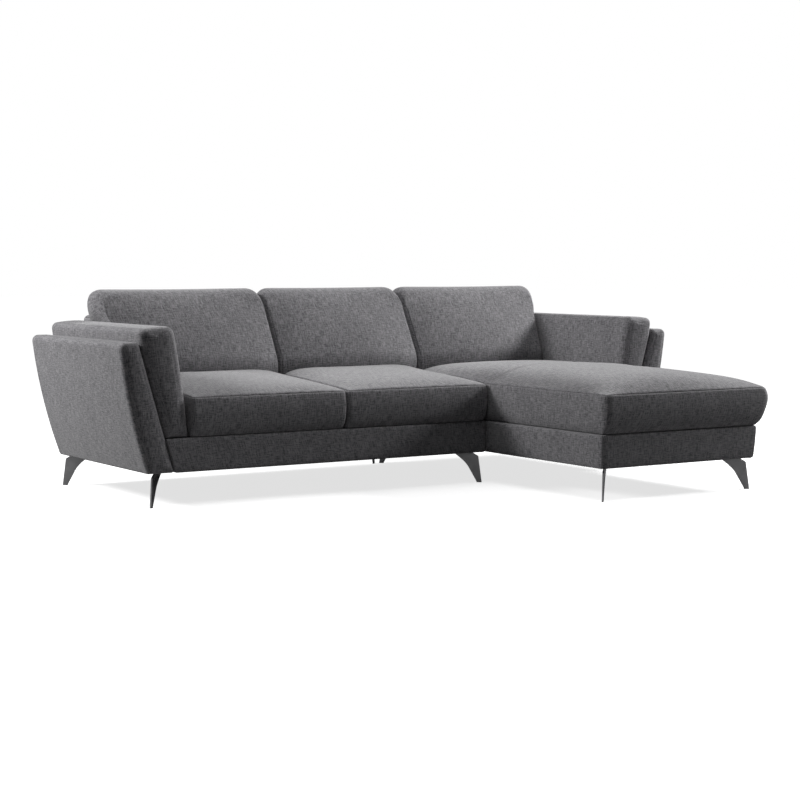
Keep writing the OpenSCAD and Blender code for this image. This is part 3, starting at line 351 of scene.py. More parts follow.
def settled(form, cap, pressure=4.0, taut=0.004, give=0.6, steps=20):
    """Lets a filled cushion's cover settle. A cloth simulation with pressure inside and no gravity, pinned
    along its seams and underside, moves the free points of a slightly taut cover. Each move is capped,
    scaled by the give, evened, eased in from the seams, and held back on the sides beside others."""
    scene = bpy.context.scene
    quads = form.quads if facing_out(form.points, form.quads) else form.quads[:, ::-1]
    normal = normals_of(form.points, quads)
    mesh = bpy.data.meshes.new("settling")
    mesh.from_pydata(form.points, [], quads)
    cover = bpy.data.objects.new("settling", mesh)
    scene.collection.objects.link(cover)
    low_share, near_seam, rounds = 0.12, 0.005, 24
    pinned = (form.share < low_share) | (form.seam < near_seam)
    cover.vertex_groups.new(name="Pinned").add(np.flatnonzero(pinned).tolist(), 1.0, "REPLACE")
    cloth = cover.modifiers.new("Cloth", "CLOTH")
    use = cloth.settings
    use.quality = 4
    use.mass = 0.3
    use.tension_stiffness = use.compression_stiffness = 15.0
    use.bending_stiffness = 0.8
    use.vertex_group_mass = "Pinned"
    use.use_pressure = True
    use.uniform_pressure_force = pressure
    use.shrink_min = taut
    use.effector_weights.gravity = 0.0
    cloth.collision_settings.use_collision = False
    cloth.point_cache.frame_start, cloth.point_cache.frame_end = 1, steps
    for step in range(1, steps + 1):
        scene.frame_set(step)
    settled_mesh = cover.evaluated_get(bpy.context.evaluated_depsgraph_get()).data
    after = np.empty(form.points.size, np.float32)
    settled_mesh.vertices.foreach_get("co", after)
    move = after.reshape(-1, 3).astype(float) - form.points
    bpy.data.objects.remove(cover)
    bpy.data.meshes.remove(mesh)
    scene.frame_set(1)
    reach = np.linalg.norm(move, axis=1, keepdims=True)
    move = give * move * np.minimum(1, cap / np.maximum(reach, TINY))
    move = evened(move, quads, rounds)
    ease = smooth((form.seam - 0.004) / 0.030) * smooth((form.share - 0.10) / 0.25)
    move = move * ease[:, None]
    outward = np.einsum("ij,ij->i", move, normal)
    beside = smooth((np.abs(normal[:, 0]) - 0.35) / 0.3)
    form.points = form.points + move - normal * (beside * np.maximum(outward, 0))[:, None]
    return form


def build(name, form, material, nodes):
    """Makes the object of a form, hides the nodes that it stands for, and puts it on the body of the first.
    """
    quads, uv = form.quads, form.uv
    if not facing_out(form.points, quads):
        quads, uv = quads[:, ::-1], uv[:, ::-1]
    mesh = bpy.data.meshes.new(name)
    mesh.vertices.add(len(form.points))
    mesh.vertices.foreach_set("co", np.ascontiguousarray(form.points, np.float32).ravel())
    mesh.loops.add(quads.size)
    mesh.loops.foreach_set("vertex_index", np.ascontiguousarray(quads, np.int32).ravel())
    mesh.polygons.add(len(quads))
    mesh.polygons.foreach_set("loop_start", np.arange(0, quads.size, 4, dtype=np.int32))
    mesh.update(calc_edges=True)
    mesh.polygons.foreach_set("use_smooth", np.ones(len(quads), bool))
    weave = mesh.uv_layers.new(name="Weave")
    weave.data.foreach_set("uv", np.ascontiguousarray(uv, np.float32).ravel())
    gap = mesh.attributes.new("seam", "FLOAT", "POINT")
    gap.data.foreach_set("value", form.seam.astype(np.float32))
    mesh.validate()
    piece = bpy.data.objects.new(name, mesh)
    bpy.context.scene.collection.objects.link(piece)
    mesh.materials.append(finish(material))
    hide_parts(*nodes)
    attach(piece, body_of(nodes[0]))
    return piece


def body_of(node):
    """The body that a node of the frame belongs to."""
    bodies = frame["record"]["behaviour"]["bodies"]
    return next(body for body, members in bodies.items() if node in members)


def cover(name, form, nodes, fill=None):
    """A piece of the grey cloth that stands for its nodes. The fill is not used."""
    piece = build(name, form, "Grey melange cloth", nodes)


def plan_of(s):
    """The lines that the pieces share, worked out from the sizes."""
    p = SimpleNamespace()
    p.fit, p.gap, p.nose = 0.0003, 0.0005, s.cushion_nose
    p.deck_z = s.leg_h + s.base_h
    p.inner_x = s.seat_w + s.chaise_w / 2
    p.joint_x = p.inner_x - s.chaise_w
    p.seat_line_x = p.joint_x - s.seat_w
    p.love_side_x, p.chaise_side_x = p.joint_x - p.gap, p.joint_x + p.gap
    p.chaise_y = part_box("chaise_front_band")[0].y
    p.front_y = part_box("loveseat_front_band")[0].y
    p.rear_y = p.front_y + s.base_depth
    p.foot_y = p.rear_y - s.back_room
    p.seat_l = p.foot_y - p.front_y - s.seat_stop
    p.rake, p.rear_slope = radians(25), tan(radians(2.5))
    p.pad_slope, p.seam_slope, p.wing_slope = (tan(radians(turn)) for turn in (7, 16, 7))
    p.seam_x = lambda z: p.inner_x + s.pad_foot + p.seam_slope * (z - p.deck_z)
    p.pad_x = lambda z: p.inner_x + p.pad_slope * (z - p.deck_z)
    p.rear_face = lambda z: p.rear_y + p.rear_slope * (z - s.leg_h)
    p.slope_y = lambda z, depth: p.foot_y + depth / cos(p.rake) + (z - p.deck_z) * tan(p.rake)
    p.panel_foot_x = p.seam_x(s.leg_h) + s.panel_foot
    p.panel_top_x = p.seam_x(s.panel_h) + s.panel_top
    rail_inset, wing_inset = 0.015, 0.092
    p.arm_rail_x = p.seam_x(s.leg_h) - rail_inset
    p.wing_foot_x = p.panel_foot_x - wing_inset
    p.wing_x = p.wing_foot_x + s.base_h * p.wing_slope + s.wing_overhang
    p.wing_end_y, p.wing_turn = p.front_y - 0.006, 0.030
    p.chaise_front, p.chaise_rear = p.chaise_y - s.cushion_nose, p.front_y + p.seat_l
    return p


def sizes_and_plan(context):
    """The sizes of the scene and the plan worked out from them."""
    sizes = context.scene.sofa_sizes
    return sizes, plan_of(sizes)


def on_slope(p, x, up, ahead):
    """The point up the slope of the back and ahead of it: Y is the foot plus up sin - ahead cos of the
    rake, and Z the deck plus up cos + ahead sin."""
    y = p.foot_y + up * sin(p.rake) - ahead * cos(p.rake)
    return np.stack((x, y, p.deck_z + up * cos(p.rake) + ahead * sin(p.rake)), -1)


def in_corner(corner, x, y, z):
    """The point x and y inside a module's corner, at the height z."""
    return np.stack((corner[0] - corner[2] * x, corner[1] - corner[3] * y, z), -1)


# Materials


class Nodes:
    """A node material under construction, with short calls for the nodes that it uses."""

    def __init__(self, name, sockets):
        self.material = bpy.data.materials.new(name)
        self.material.use_nodes = True
        self.tree = self.material.node_tree
        self.shader = self.tree.nodes["Principled BSDF"]
        for socket, value in sockets.items():
            self.shader.inputs[socket].default_value = value

    def add(self, kind, links=None, values=None, **settings):
        """A shader node with its settings, its linked sockets and the values of others."""
        node = self.tree.nodes.new("ShaderNode" + kind)
        for key, value in settings.items():
            setattr(node, key, value)
        for socket, value in (values or {}).items():
            node.inputs[socket].default_value = value
        for socket, output in (links or {}).items():
            self.tree.links.new(output, node.inputs[socket])
        return node

    def feed(self, sockets, values):
        """Sets each socket to its number or colour, or links it to its output."""
        for socket, value in zip(sockets, values):
            if isinstance(value, (int, float)):
                socket.default_value = value
            elif isinstance(value, tuple):
                socket.default_value = (*value, 1.0)
            else:
                self.tree.links.new(value, socket)

    def place(self):
        """Object coordinates."""
        return self.add("TexCoord").outputs["Object"]

    def noise(self, coordinate, scale, detail=2.0, rough=0.5):
        """A noise stretched by a scale along each axis."""
        at = self.add("Mapping", {"Vector": coordinate}, {"Scale": scale}).outputs["Vector"]
        values = {"Scale": 1.0, "Detail": detail, "Roughness": rough}
        return self.add("TexNoise", {"Vector": at}, values).outputs["Fac"]

    def maths(self, operation, a, b):
        """One sum, product or the like of two numbers or outputs."""
        node = self.add("Math", operation=operation)
        self.feed(node.inputs, (a, b))
        return node.outputs[0]

    def weighed(self, *pairs):
        """The sum of outputs, each times its weight."""
        total = None
        for output, weight in pairs:
            part = self.maths("MULTIPLY", output, weight)
            total = part if total is None else self.maths("ADD", total, part)
        return total

    def ranged(self, value, low, high, to_low=0.0, to_high=1.0):
        """A value from one range laid on another, and held at its ends."""
        values = {"From Min": low, "From Max": high, "To Min": to_low, "To Max": to_high}
        return self.add("MapRange", {"Value": value}, values).outputs["Result"]

    def mixed(self, factor, a, b):
        """A colour by the factor from a to b."""
        node = self.add("Mix", data_type="RGBA")
        self.feed([socket for socket in node.inputs if socket.enabled], (factor, a, b))
        return next(output for output in node.outputs if output.enabled)

    def bump(self, height, distance, strength=1.0, normal=None):
        """The normal that a height over a distance in metres gives, on top of another where one is given."""
        links = {"Height": height} if normal is None else {"Height": height, "Normal": normal}
        return self.add("Bump", links, {"Distance": distance, "Strength": strength}).outputs["Normal"]

    def use(self, **outputs):
        """Links outputs to the shader's sockets, whose names are written with _ for a space."""
        for socket, output in outputs.items():
            self.tree.links.new(output, self.shader.inputs[socket.replace("_", " ")])


def woven_cloth(name, colours):
    """Woven melange cloth. Its colour mixes a dark and a light yarn by three stretched noises: streaks up
    the warp, shorter streaks along the weft and a fine speckle, over a slow drift. Along each seam the
    colour is darkened towards near black, a painted shade for the seam's groove. The bump is the
    over-and-under of the threads, thick and thin places in the yarn, and the groove of each seam."""
    sheen = {"Sheen Weight": 0.36, "Sheen Roughness": 0.5}
    n = Nodes(name, {"Roughness": 0.92, "Specular IOR Level": 0.18, **sheen})
    cloth = n.add("UVMap", uv_map="Weave").outputs["UV"]
    streaks = (  # the scale of each noise, its roughness and its share
        ((250.0, 28.0, 1.0), 0.7, 0.38),
        ((32.0, 260.0, 1.0), 0.7, 0.34),
        ((330.0, 290.0, 1.0), 0.6, 0.22),
        ((9.0, 6.0, 1.0), 0.5, 0.06),
    )
    yarn = n.weighed(*[(n.noise(cloth, scale, 2.0, rough), share) for scale, rough, share in streaks])
    tone = n.mixed(n.ranged(yarn, 0.42, 0.58), tuple(colours.cloth_dark), tuple(colours.cloth_light))
    threads = [
        n.add("TexWave", {"Vector": cloth}, {"Scale": 190.0}, bands_direction=way).outputs["Fac"]
        for way in "XY"
    ]
    normal = n.bump(n.weighed((n.maths("MULTIPLY", *threads), 0.4), (yarn, 1.4)), 0.0007, 0.6)
    # Painted shade along each seam: within about 2.6 mm of a seam the colour is darkened by up to two thirds
    # towards near black, standing in for the shade in the seam's groove.
    gap = n.add("Attribute", attribute_name="seam", attribute_type="GEOMETRY").outputs["Fac"]
    line = n.ranged(gap, 0.0006, 0.0026)
    tone = n.mixed(n.ranged(line, 0.0, 1.0, 0.35, 1.0), (0.030, 0.030, 0.033), tone)
    n.use(Base_Color=tone, Normal=n.bump(line, 0.0012, 0.8, normal))
    return n.material


def grained(name, sockets, noise, tones, rough, bump):
    """A finish from one noise of object coordinates: it mixes two tones, varies the roughness over its
    range where one is given, and raises the bump."""
    n = Nodes(name, sockets)
    grain = n.noise(n.place(), *noise)
    n.use(Base_Color=n.mixed(n.ranged(grain, 0.3, 0.7), *tones), Normal=n.bump(grain, *bump))
    if rough:
        n.use(Roughness=n.ranged(grain, 0.3, 0.7, *rough))
    return n.material


def lining_cloth(name, colours):
    """Thin black non-woven cloth: near black fibres with a fine bump."""
    dark = tuple(colours.lining)
    sockets = {"Roughness": 0.85, "Specular IOR Level": 0.25, "Sheen Weight": 0.1}
    tones = (dark, tuple(2.2 * c for c in dark))
    return grained(name, sockets, ((600.0, 240.0, 400.0), 3.0, 0.6), tones, None, (0.0004, 0.5))


def plated_steel(name, colours):
    """Zinc-plated steel for springs, bolts and plates: a mottled bright grey with uneven roughness."""
    tones = ((0.36, 0.36, 0.37), (0.55, 0.55, 0.56))
    return grained(name, {"Metallic": 1.0}, ((140.0,) * 3, 3.0, 0.6), tones, (0.28, 0.5), (0.0002, 0.3))


def black_plastic(name, colours):
    """Moulded black plastic with a fine grain in its roughness and bump."""
    tones = ((0.012, 0.012, 0.012), (0.022, 0.022, 0.023))
    return grained(
        name, {"Specular IOR Level": 0.45}, ((900.0,) * 3, 2.0, 0.5), tones, (0.38, 0.52), (0.0002, 0.4)
    )


def satin_metal(name, colours):
    """Satin steel: fine brushed lines along one direction vary the roughness and bump a little, and a
    slow noise clouds the colour."""
    n = Nodes(name, {"Metallic": 1.0})
    at, base = n.place(), tuple(colours.metal)
    brushed = n.noise(at, (60.0, 60.0, 2600.0))
    cloud = n.noise(at, (22.0, 22.0, 22.0), 3.0, 0.55)
    n.use(
        Base_Color=n.mixed(n.ranged(cloud, 0.3, 0.7), tuple(0.82 * c for c in base), base),
        Roughness=n.ranged(n.maths("ADD", brushed, cloud), 0.6, 1.4, 0.26, 0.42),
        Normal=n.bump(brushed, 0.0001, 0.35),
    )
    return n.material


def hardwood(name, colours):
    """Planed hardwood: long grain streaks from a stretched noise, darker pores and a soft bump."""
    n = Nodes(name, {"Roughness": 0.62, "Specular IOR Level": 0.35})
    at, base = n.place(), tuple(colours.wood)
    grain = n.noise(at, (6.0, 46.0, 90.0), 5.0, 0.6)
    pores = n.noise(at, (40.0, 700.0, 700.0))
    tone = n.mixed(n.ranged(grain, 0.32, 0.68), tuple(0.62 * c for c in base), base)
    tone = n.mixed(n.ranged(pores, 0.28, 0.40), tuple(0.35 * c for c in base), tone)
    n.use(Base_Color=tone, Normal=n.bump(pores, 0.0003, 0.4))
    return n.material


FINISHES = {
    "Grey melange cloth": woven_cloth,
    "Black lining": lining_cloth,
    "Plated steel": plated_steel,
    "Black moulded plastic": black_plastic,
    "Satin leg metal": satin_metal,
    "Frame hardwood": hardwood,
}


def finish(name):
    """The material of that name, made once."""
    return bpy.data.materials.get(name) or FINISHES[name](name, bpy.context.scene.sofa_colours)


# Seat cushions


SIDE_DRAW = 0.006  # how far a cushion's side lies inside its widest line at the foot and at the seam
SIDE_RISE = (  # heights of the rings up a cushion's side
    0.010, 0.028, 0.06, 0.12, 0.2, 0.3, 0.4, 0.5, 0.6, 0.7, 0.79, 0.86, 0.915, 0.95, 0.975, 0.991,
)
CHAISE_SEED = 5
CUSHION_CELL = 0.012
SEAT_CAP, BACK_CAP = 0.010, 0.012  # the most that a cover moves as it settles
SEAT_FILL, BACK_FILL = 0.8, 0.7


def side_draw(w, foot, seam):
    """How far a side lies inside the widest line, w of the way up: the foot's draw falls off as
    (1 - w) to the 4th, and the seam's grows as w to the 6th."""
    return foot * (1 - w) ** 4 + seam * w**6


def tucked(w, depth=0.014):
    """The tuck of a cushion's front over its base: a depth that falls off as (1 - w) to the 14th."""
    return depth * (1 - w) ** 14


def seat_place(s, p, x0, x1, seed):
    """A seat cushion: its plan is a rounded rectangle drawn in by side_draw, and its top rises from the
    front seam to the rear, with a crown of two domes and a slow unevenness of the filling."""
    corner, crown_power, front_power, uneven, waves = 0.016, 6, 15, 0.0022, 9

    def place(su, sv, w):
        side = side_draw(w, SIDE_DRAW, SIDE_DRAW)
        low = (x0 + p.gap + side, p.front_y - p.nose + side_draw(w, p.nose, s.seam_draw) + tucked(w))
        high = (x1 - p.gap - side, p.front_y + p.seat_l - side)
        x, y = np.broadcast_arrays(mix(low[0], high[0], su), mix(low[1], high[1], sv))
        x, y = rounded(x, y, low, high, corner)
        crown = dome(su, crown_power) * (1 - (1 - sv) ** front_power)
        top = s.seam_rise + s.rear_rise * sv**0.8 + s.seat_crown * crown
        top = top + uneven * ripple(x * waves, y * waves, seed) * crown * (w == 1)
        return np.stack((x, y, p.deck_z + p.fit + w * (top - p.fit)), -1)

    return place


def chaise_place(s, p):
    """The chaise cushion: like a seat cushion, and T-shaped. Its stations along Y are distances, and the
    right side steps from the arm out to the open side through a cubic step. Towards the open side the crown
    is lower and its dome has a higher power, which makes a full shoulder."""
    powers, front_power, low_part, seam_lift, rear_drop = (4.6, 11.0), 22, 0.40, 0.003, 0.020
    clear, foot_power, shoulder_draw = 0.004, 2.4, 0.022
    foot_corner, corner_more, wing_corner_more = 0.014, 0.020, 0.032
    open_from, open_over, open_share = 0.10, 0.35, (0.5, 0.45)
    uneven, waves = 0.0030, 7

    def place(su, y, w):
        share = (y - p.chaise_front) / (p.chaise_rear - p.chaise_front)
        back_share = np.clip((y - p.front_y) / p.seat_l, 0, 1)
        wing = smooth((p.wing_end_y - y) / p.wing_turn)
        side = side_draw(w, SIDE_DRAW, SIDE_DRAW)
        open_side = p.wing_x - clear - s.wing_overhang * (1 - w) ** foot_power - shoulder_draw * w**6
        low = (
            p.chaise_side_x + side + tucked(w),
            p.chaise_front + side_draw(w, p.nose, s.seam_draw) + tucked(w),
        )
        high = (mix(p.inner_x - p.gap - side, open_side, wing), p.chaise_rear - side)
        x, yy = np.broadcast_arrays(mix(low[0], high[0], su), mix(low[1], high[1], share))
        corner_out = mix(corner_more, wing_corner_more, wing * smooth(2 * su - 1))
        x, yy = rounded(x, yy, low, high, foot_corner + smooth(2 * w) * corner_out)
        ramp = s.chaise_rise * back_share**0.7
        open_part = smooth((p.wing_end_y + open_from - y) / open_over)
        open_part = open_part * smooth((su - open_share[0]) / open_share[1])
        crown = dome(su, mix(*powers, open_part)) * (1 - low_part * open_part)
        crown = crown * (1 - (1 - share) ** front_power)
        top = s.seam_rise + seam_lift + ramp + (s.chaise_crown - ramp - rear_drop * back_share**3) * crown
        top = top + uneven * ripple(x * waves, yy * waves, CHAISE_SEED) * crown * (w == 1)
        return np.stack((x, yy, p.deck_z + p.fit + w * (top - p.fit)), -1)

    return place


def loose_cushion(s, name, form, cap, seed, fill):
    """A loose cushion: its form settles with moves up to the cap, is sewn, and covers its node."""
    cover(name + "_cover", sewn(settled(form, cap), s, seed), [name], fill)


class SOFA_OT_seat_cushions(Operator):
    """Builds the two loose seat cushions of the two-seat module"""

    bl_idname = "sofa.seat_cushions"
    bl_label = "Seat cushions"

    def execute(self, context):
        s, p = sizes_and_plan(context)
        su, sv = (spaced(size, CUSHION_CELL) for size in (s.seat_w, p.seat_l + p.nose))
        rows = (("left", -p.inner_x, p.seat_line_x, 11), ("middle", p.seat_line_x, p.joint_x, 23))
        for side, x0, x1, seed in rows:
            form = between(seat_place(s, p, x0, x1, seed), su, sv, SIDE_RISE, SEAMED)
            loose_cushion(s, f"{side}_seat_cushion", form, SEAT_CAP, seed, SEAT_FILL)
        return {"FINISHED"}


class SOFA_OT_chaise_cushion(Operator):
    """Builds the long loose cushion of the chaise"""

    bl_idname = "sofa.chaise_cushion"
    bl_label = "Chaise cushion"

    def execute(self, context):
        s, p = sizes_and_plan(context)
        cell, clear, margin, across_step = 0.013, 0.004, 0.012, 16
        long = p.chaise_rear - p.chaise_front
        y = spaced(long, cell) * long + p.chaise_front
        step = (p.wing_end_y - p.wing_turn - margin, p.wing_end_y + margin)
        fine = np.linspace(*step, across_step)
        y = np.concatenate((y[y < step[0] - clear], fine, y[y > step[1] + clear]))
        form = between(chaise_place(s, p), spaced(p.wing_x - p.chaise_side_x, cell), y, SIDE_RISE, SEAMED)
        loose_cushion(s, "chaise_cushion", form, SEAT_CAP, CHAISE_SEED, SEAT_FILL)
        return {"FINISHED"}


# Back cushions


def border_draw(w, r, full=1.0):
    """A round border: how far it lies inside the widest line, w of the way through. Full is the share of
    a half circle's width that it runs through, so below 1 it meets the faces at an angle."""
    return r * (1 - np.sqrt(np.maximum(0, 1 - (full * (2 * w - 1)) ** 2)))


def back_place(s, p, x0, x1, left_arm, right_arm, left_lean, right_lean, seed):
    """A back cushion on the slope. Across and up it is a rounded rectangle that widens beside an arm pad.
    Through its thickness the top and foot are round and the sides are boxed, with a crisp front seam.
    The border thins towards the top, and both faces are domed by dome(su) dome(sv). The boxed sides are
    slanted planes: they go to the right by the lean at each side over the depth of the full border."""
    foot_r, top_r, top_full, rear_crown, uneven, waves = s.back_foot / 2, 0.078, 0.95, 0.008, 0.003, 8
    arm_reach, arm_from, arm_over, narrow = 0.038, 0.72, 0.09, 0.8
    spread_share, foot_draw, seam_draw, full_from = 0.75, 0.026, 0.010, 0.4
    across_power, up_power = 2.8, 2.0
    slide = (foot_r * (cos(p.rake) - 1) + (p.fit + rear_crown + foot_r) * sin(p.rake) - p.fit) / cos(p.rake)

    def place(su, sv, w):
        h = s.back_l * sv
        over_arm = arm_reach * smooth((h - arm_from * s.back_l) / arm_over) * (1 - narrow * w**3)
        spread = p.pad_slope * spread_share * h + over_arm
        side = side_draw(w, foot_draw, seam_draw)
        border = mix(s.back_foot, s.back_border, smooth(sv / full_from))
        border = border - s.back_taper * np.clip((sv - full_from) / (1 - full_from), 0, 1)
        ahead = w * border / s.back_border
        low = (x0 + p.gap + side - left_arm * spread + left_lean * ahead, border_draw(w, foot_r))
        high = (
            x1 - p.gap - side + right_arm * spread + right_lean * ahead,
            s.back_l - border_draw(w, top_r, top_full),
        )
        x, up = np.broadcast_arrays(mix(low[0], high[0], su), mix(low[1], high[1], sv))
        x, up = rounded(x, up, low, high, s.back_corner)
        bulge = dome(su, across_power) * dome(sv, up_power)
        deep = p.fit + rear_crown + w * border
        filling = uneven * ripple(x * waves, up * waves, seed) * bulge
        deep = deep + (w == 1) * (s.back_crown * bulge + filling)
        deep = deep - (w == 0) * rear_crown * bulge
        return on_slope(p, x, up - slide, deep)

    return place


class SOFA_OT_back_cushions(Operator):
    """Builds the three loose back cushions"""

    bl_idname = "sofa.back_cushions"
    bl_label = "Back cushions"

    def execute(self, context):
        s, p = sizes_and_plan(context)
        rows = (
            ("left", -p.inner_x, p.seat_line_x, 1, 0, 0.0, s.left_lean, 31),
            ("middle", p.seat_line_x, p.joint_x, 0, 0, s.left_lean, s.right_lean, 37),
            ("right", p.joint_x, p.inner_x, 0, 1, s.right_lean, 0.0, 41),
        )
        su, sv = spaced(s.seat_w, CUSHION_CELL), spaced(s.back_l, CUSHION_CELL)
        through = (1 - np.cos(pi * np.linspace(0, 1, 20)[1:-1])) / 2
        soft_z, soft_over, soften = 0.76, 0.05, 0.03  # the seams fade out towards the top
        for side, *row in rows:
            form = between(back_place(s, p, *row), su, sv, through, SEAMED)
            form.seam = form.seam + soften * smooth((form.points[:, 2] - soft_z) / soft_over)
            loose_cushion(s, f"{side}_back_cushion", form, BACK_CAP, row[-1], BACK_FILL)
        return {"FINISHED"}


# Arms


def outline(corners, bow_steps=12, arc_steps=10):
    """Sides of a closed outline in X and Z, given as corners with a radius and the bow of the side after
    them. Each corner is an arc, and each side bows out by 4 t (1 - t) of its bow."""
    count = len(corners)
    arcs = []
    for k in range(count):
        a, b, c = (np.array(corners[(k + d) % count][:2]) for d in (-1, 0, 1))
        u, w = (a - b) / np.linalg.norm(a - b), (c - b) / np.linalg.norm(c - b)
        half = np.arccos(u @ w) / 2
        r = corners[k][2]
        middle = b + (u + w) / np.linalg.norm(u + w) * r / sin(half)
        start = b + u * r / tan(half) - middle
        way = 1 if u[0] * w[1] - u[1] * w[0] < 0 else -1
        t = way * np.linspace(0, pi - 2 * half, arc_steps + 1)
        x = start[0] * np.cos(t) - start[1] * np.sin(t)
        z = start[0] * np.sin(t) + start[1] * np.cos(t)
        arcs.append(middle + np.stack((x, z), -1))
    lines = []
    for k in range(count):
        first, last = arcs[k][-1], arcs[(k + 1) % count][0]
        way = last - first
        out = np.array((way[1], -way[0])) / np.linalg.norm(way)
        t = np.linspace(0, 1, bow_steps + 1)[1:-1, None]
        lines.append(first + way * t + out * corners[k][3] * 4 * t * (1 - t))
    return arcs, lines


def half_arc(arc, first):
    """The first or the second half of a corner's arc."""
    middle = len(arc) // 2
    return arc[: middle + 1] if first else arc[middle:]


def side_between(arcs, lines, start, end):
    """The outline from the middle of one corner's arc to the middle of another's."""
    count = len(arcs)
    parts = [half_arc(arcs[start], False)]
    k = start
    while k != end:
        parts.append(lines[k])
        k = (k + 1) % count
        parts.append(arcs[k] if k != end else half_arc(arcs[k], True))
    return np.vstack(parts)


def coons(left, right, foot, top, v, w):
    """A grid inside four sides, the Coons patch: both blends of opposite sides, less the blend of the four
    corners."""
    v, w = v[:, None, None], w[None, :, None]
    corners = (1 - v) * ((1 - w) * foot[0] + w * foot[-1]) + v * ((1 - w) * top[0] + w * top[-1])
    return (1 - w) * left[:, None] + w * right[:, None] + (1 - v) * foot[None] + v * top[None] - corners


def section_grid(arcs, lines, marks, v, w):
    """A grid over an outline's section, inside its four sides between the marked corners."""
    foot = resampled(side_between(arcs, lines, marks[0], marks[1]), w)
    right = resampled(side_between(arcs, lines, marks[1], marks[2]), v)
    top = resampled(side_between(arcs, lines, marks[2], marks[3])[::-1], w)
    left = resampled(side_between(arcs, lines, marks[3], marks[0])[::-1], v)
    return coons(left, right, foot, top, v, w)


def inset_grid(shape):
    """A grid with the same edge as shape and an even inside."""
    v, w = arc_length(shape[:, 0], 0), arc_length(shape[0], 0)
    return coons(shape[:, 0], shape[:, -1], shape[0], shape[-1], v / v[-1], w / w[-1])


def drawn_in(points, spine, d):
    """Moves points of a section by d towards the nearest point of its spine, and no further than it."""
    a, b = (np.array(q) for q in spine)
    t = np.clip(((points - a) @ (b - a)) / ((b - a) @ (b - a)), 0, 1)
    to = a + t[..., None] * (b - a) - points
    reach = np.linalg.norm(to, axis=-1, keepdims=True)
    return points + to / np.maximum(reach, TINY) * np.minimum(d, reach)


def slab(section, spine, y0, y1, r, lean, side, crown=0.004, cell=0.022):
    """An upholstered slab: a section carried along Y. At each end the section draws in by r (1 - cos t)
    while Y goes on by r sin t, and the flat left inside is crowned. The rear end leans by lean(z)."""
    rows, cols = section.shape[:2]
    turn = np.linspace(0, pi / 2, 9)
    count = int(round((y1 - y0) / cell))
    run = np.linspace(y0 + r, y1 - r, count + 1)
    share = (run - run[0]) / (run[-1] - run[0])
    stations = [(y0 + r * (1 - sin(t)), r * (1 - cos(t)), 0.0) for t in turn[:0:-1]]
    stations += [(y, 0.0, q) for y, q in zip(run, share)]
    stations += [(y1 - r * (1 - sin(t)), r * (1 - cos(t)), 1.0) for t in turn[1:]]
    rr, cc = edge_of(rows, cols)

    def placed(points, y, part):
        at = np.broadcast_to(y, points.shape[:-1]) + part * lean(points[..., 1])
        return np.stack((side * points[..., 0], at, points[..., 1]), -1)

    bulge = crown * dome(np.linspace(0, 1, cols), 2.5)[None] * dome(np.linspace(0, 1, rows), 8)[:, None]
    shape = drawn_in(section, spine, r)
    front = placed(inset_grid(shape), stations[0][0] - bulge, 0.0)
    rear = placed(inset_grid(shape), stations[-1][0] + bulge, 1.0)
    rings = [placed(drawn_in(section[rr, cc], spine, d), y, q) for y, d, q in stations[1:-1]]
    return closed_grid(front, rings[::-1], rear, turned=True, seams=())


def arm_form(s, p, side, corners, marks, spine, size, end_y, r):
    """One slab of an arm: the section inside the outline of its corners, from the front to a rear end that
    leans with the back. Size is the height and the width of the section."""
    near, cells = (0.004, 0.009, 0.015, 0.022, 0.030), (0.018, 0.012)
    v, w = (spaced(side_l, cell, near) for side_l, cell in zip(size, cells))
    section = section_grid(*outline(corners), marks, v, w)
    return slab(section, spine, p.front_y, end_y, r, lambda z: p.rear_slope * (z - s.leg_h), side)


def arm_panel_form(s, p, side):
    """The outer panel: from the seam with the pad to an outer face that bows out and leans."""
    seam_foot, seam_top = p.seam_x(s.leg_h), p.seam_x(s.panel_h)
    corners = [
        (seam_foot, s.leg_h, 0.008, 0.0),
        (p.panel_foot_x, s.leg_h, 0.014, s.panel_bow),
        (p.panel_top_x, s.panel_h, 0.026, 0.0),
        (seam_top, s.panel_h, 0.020, 0.0),
    ]
    spine = (
        (seam_foot + s.panel_foot / 2 + 0.012, s.leg_h + s.panel_foot / 2),
        (seam_top + s.panel_top / 2 - 0.008, s.panel_h - s.panel_top / 2),
    )
    size = (s.panel_h - s.leg_h, s.panel_foot)
    return arm_form(s, p, side, corners, (0, 1, 2, 3), spine, size, p.rear_y, 0.024)


def arm_pad_form(s, p, side):
    """The inner pad: from the seat deck up along the seam, out over the panel's top edge at its shoulder,
    and round to the top."""
    gap = 2 * p.fit
    foot_z, shoulder_z, over_z = p.deck_z + p.fit, s.panel_h - 0.027, s.pad_h - 0.011
    over_x, top_x = p.seam_x(s.panel_h), p.pad_x(s.pad_h) + 0.004
    corners = [
        (p.pad_x(p.deck_z), foot_z, 0.006, 0.0),
        (p.seam_x(p.deck_z) - gap, foot_z, 0.006, 0.0),
        (p.seam_x(shoulder_z) - gap, shoulder_z, 0.060, 0.0),
        (over_x, over_z, 0.026, 0.002),
        (top_x, s.pad_h, 0.038, 0.006),
    ]
    spine = (
        (p.inner_x + s.pad_foot / 2, p.deck_z + s.pad_foot / 2),
        ((top_x + over_x) / 2, s.pad_h - 0.056),
    )
    size = (s.pad_h - p.deck_z, s.pad_foot)
    return arm_form(s, p, side, corners, (0, 1, 3, 4), spine, size, p.rear_y - 0.012, 0.034)


class SOFA_OT_arms(Operator):
    """Builds the outer panels and the inner pads of both arms"""

    bl_idname = "sofa.arms"
    bl_label = "Arms"

    def execute(self, context):
        s, p = sizes_and_plan(context)
        kinds = (("panel", arm_panel_form, 51, 0.9), ("pad", arm_pad_form, 57, 0.85))
        for name, side in (("left", -1), ("right", 1)):
            for kind, make, seed, fill in kinds:
                node = f"{name}_arm_{kind}"
                cover(node + "_cover", sewn(make(s, p, side), s, seed), [node], fill)
        return {"FINISHED"}


# Bases


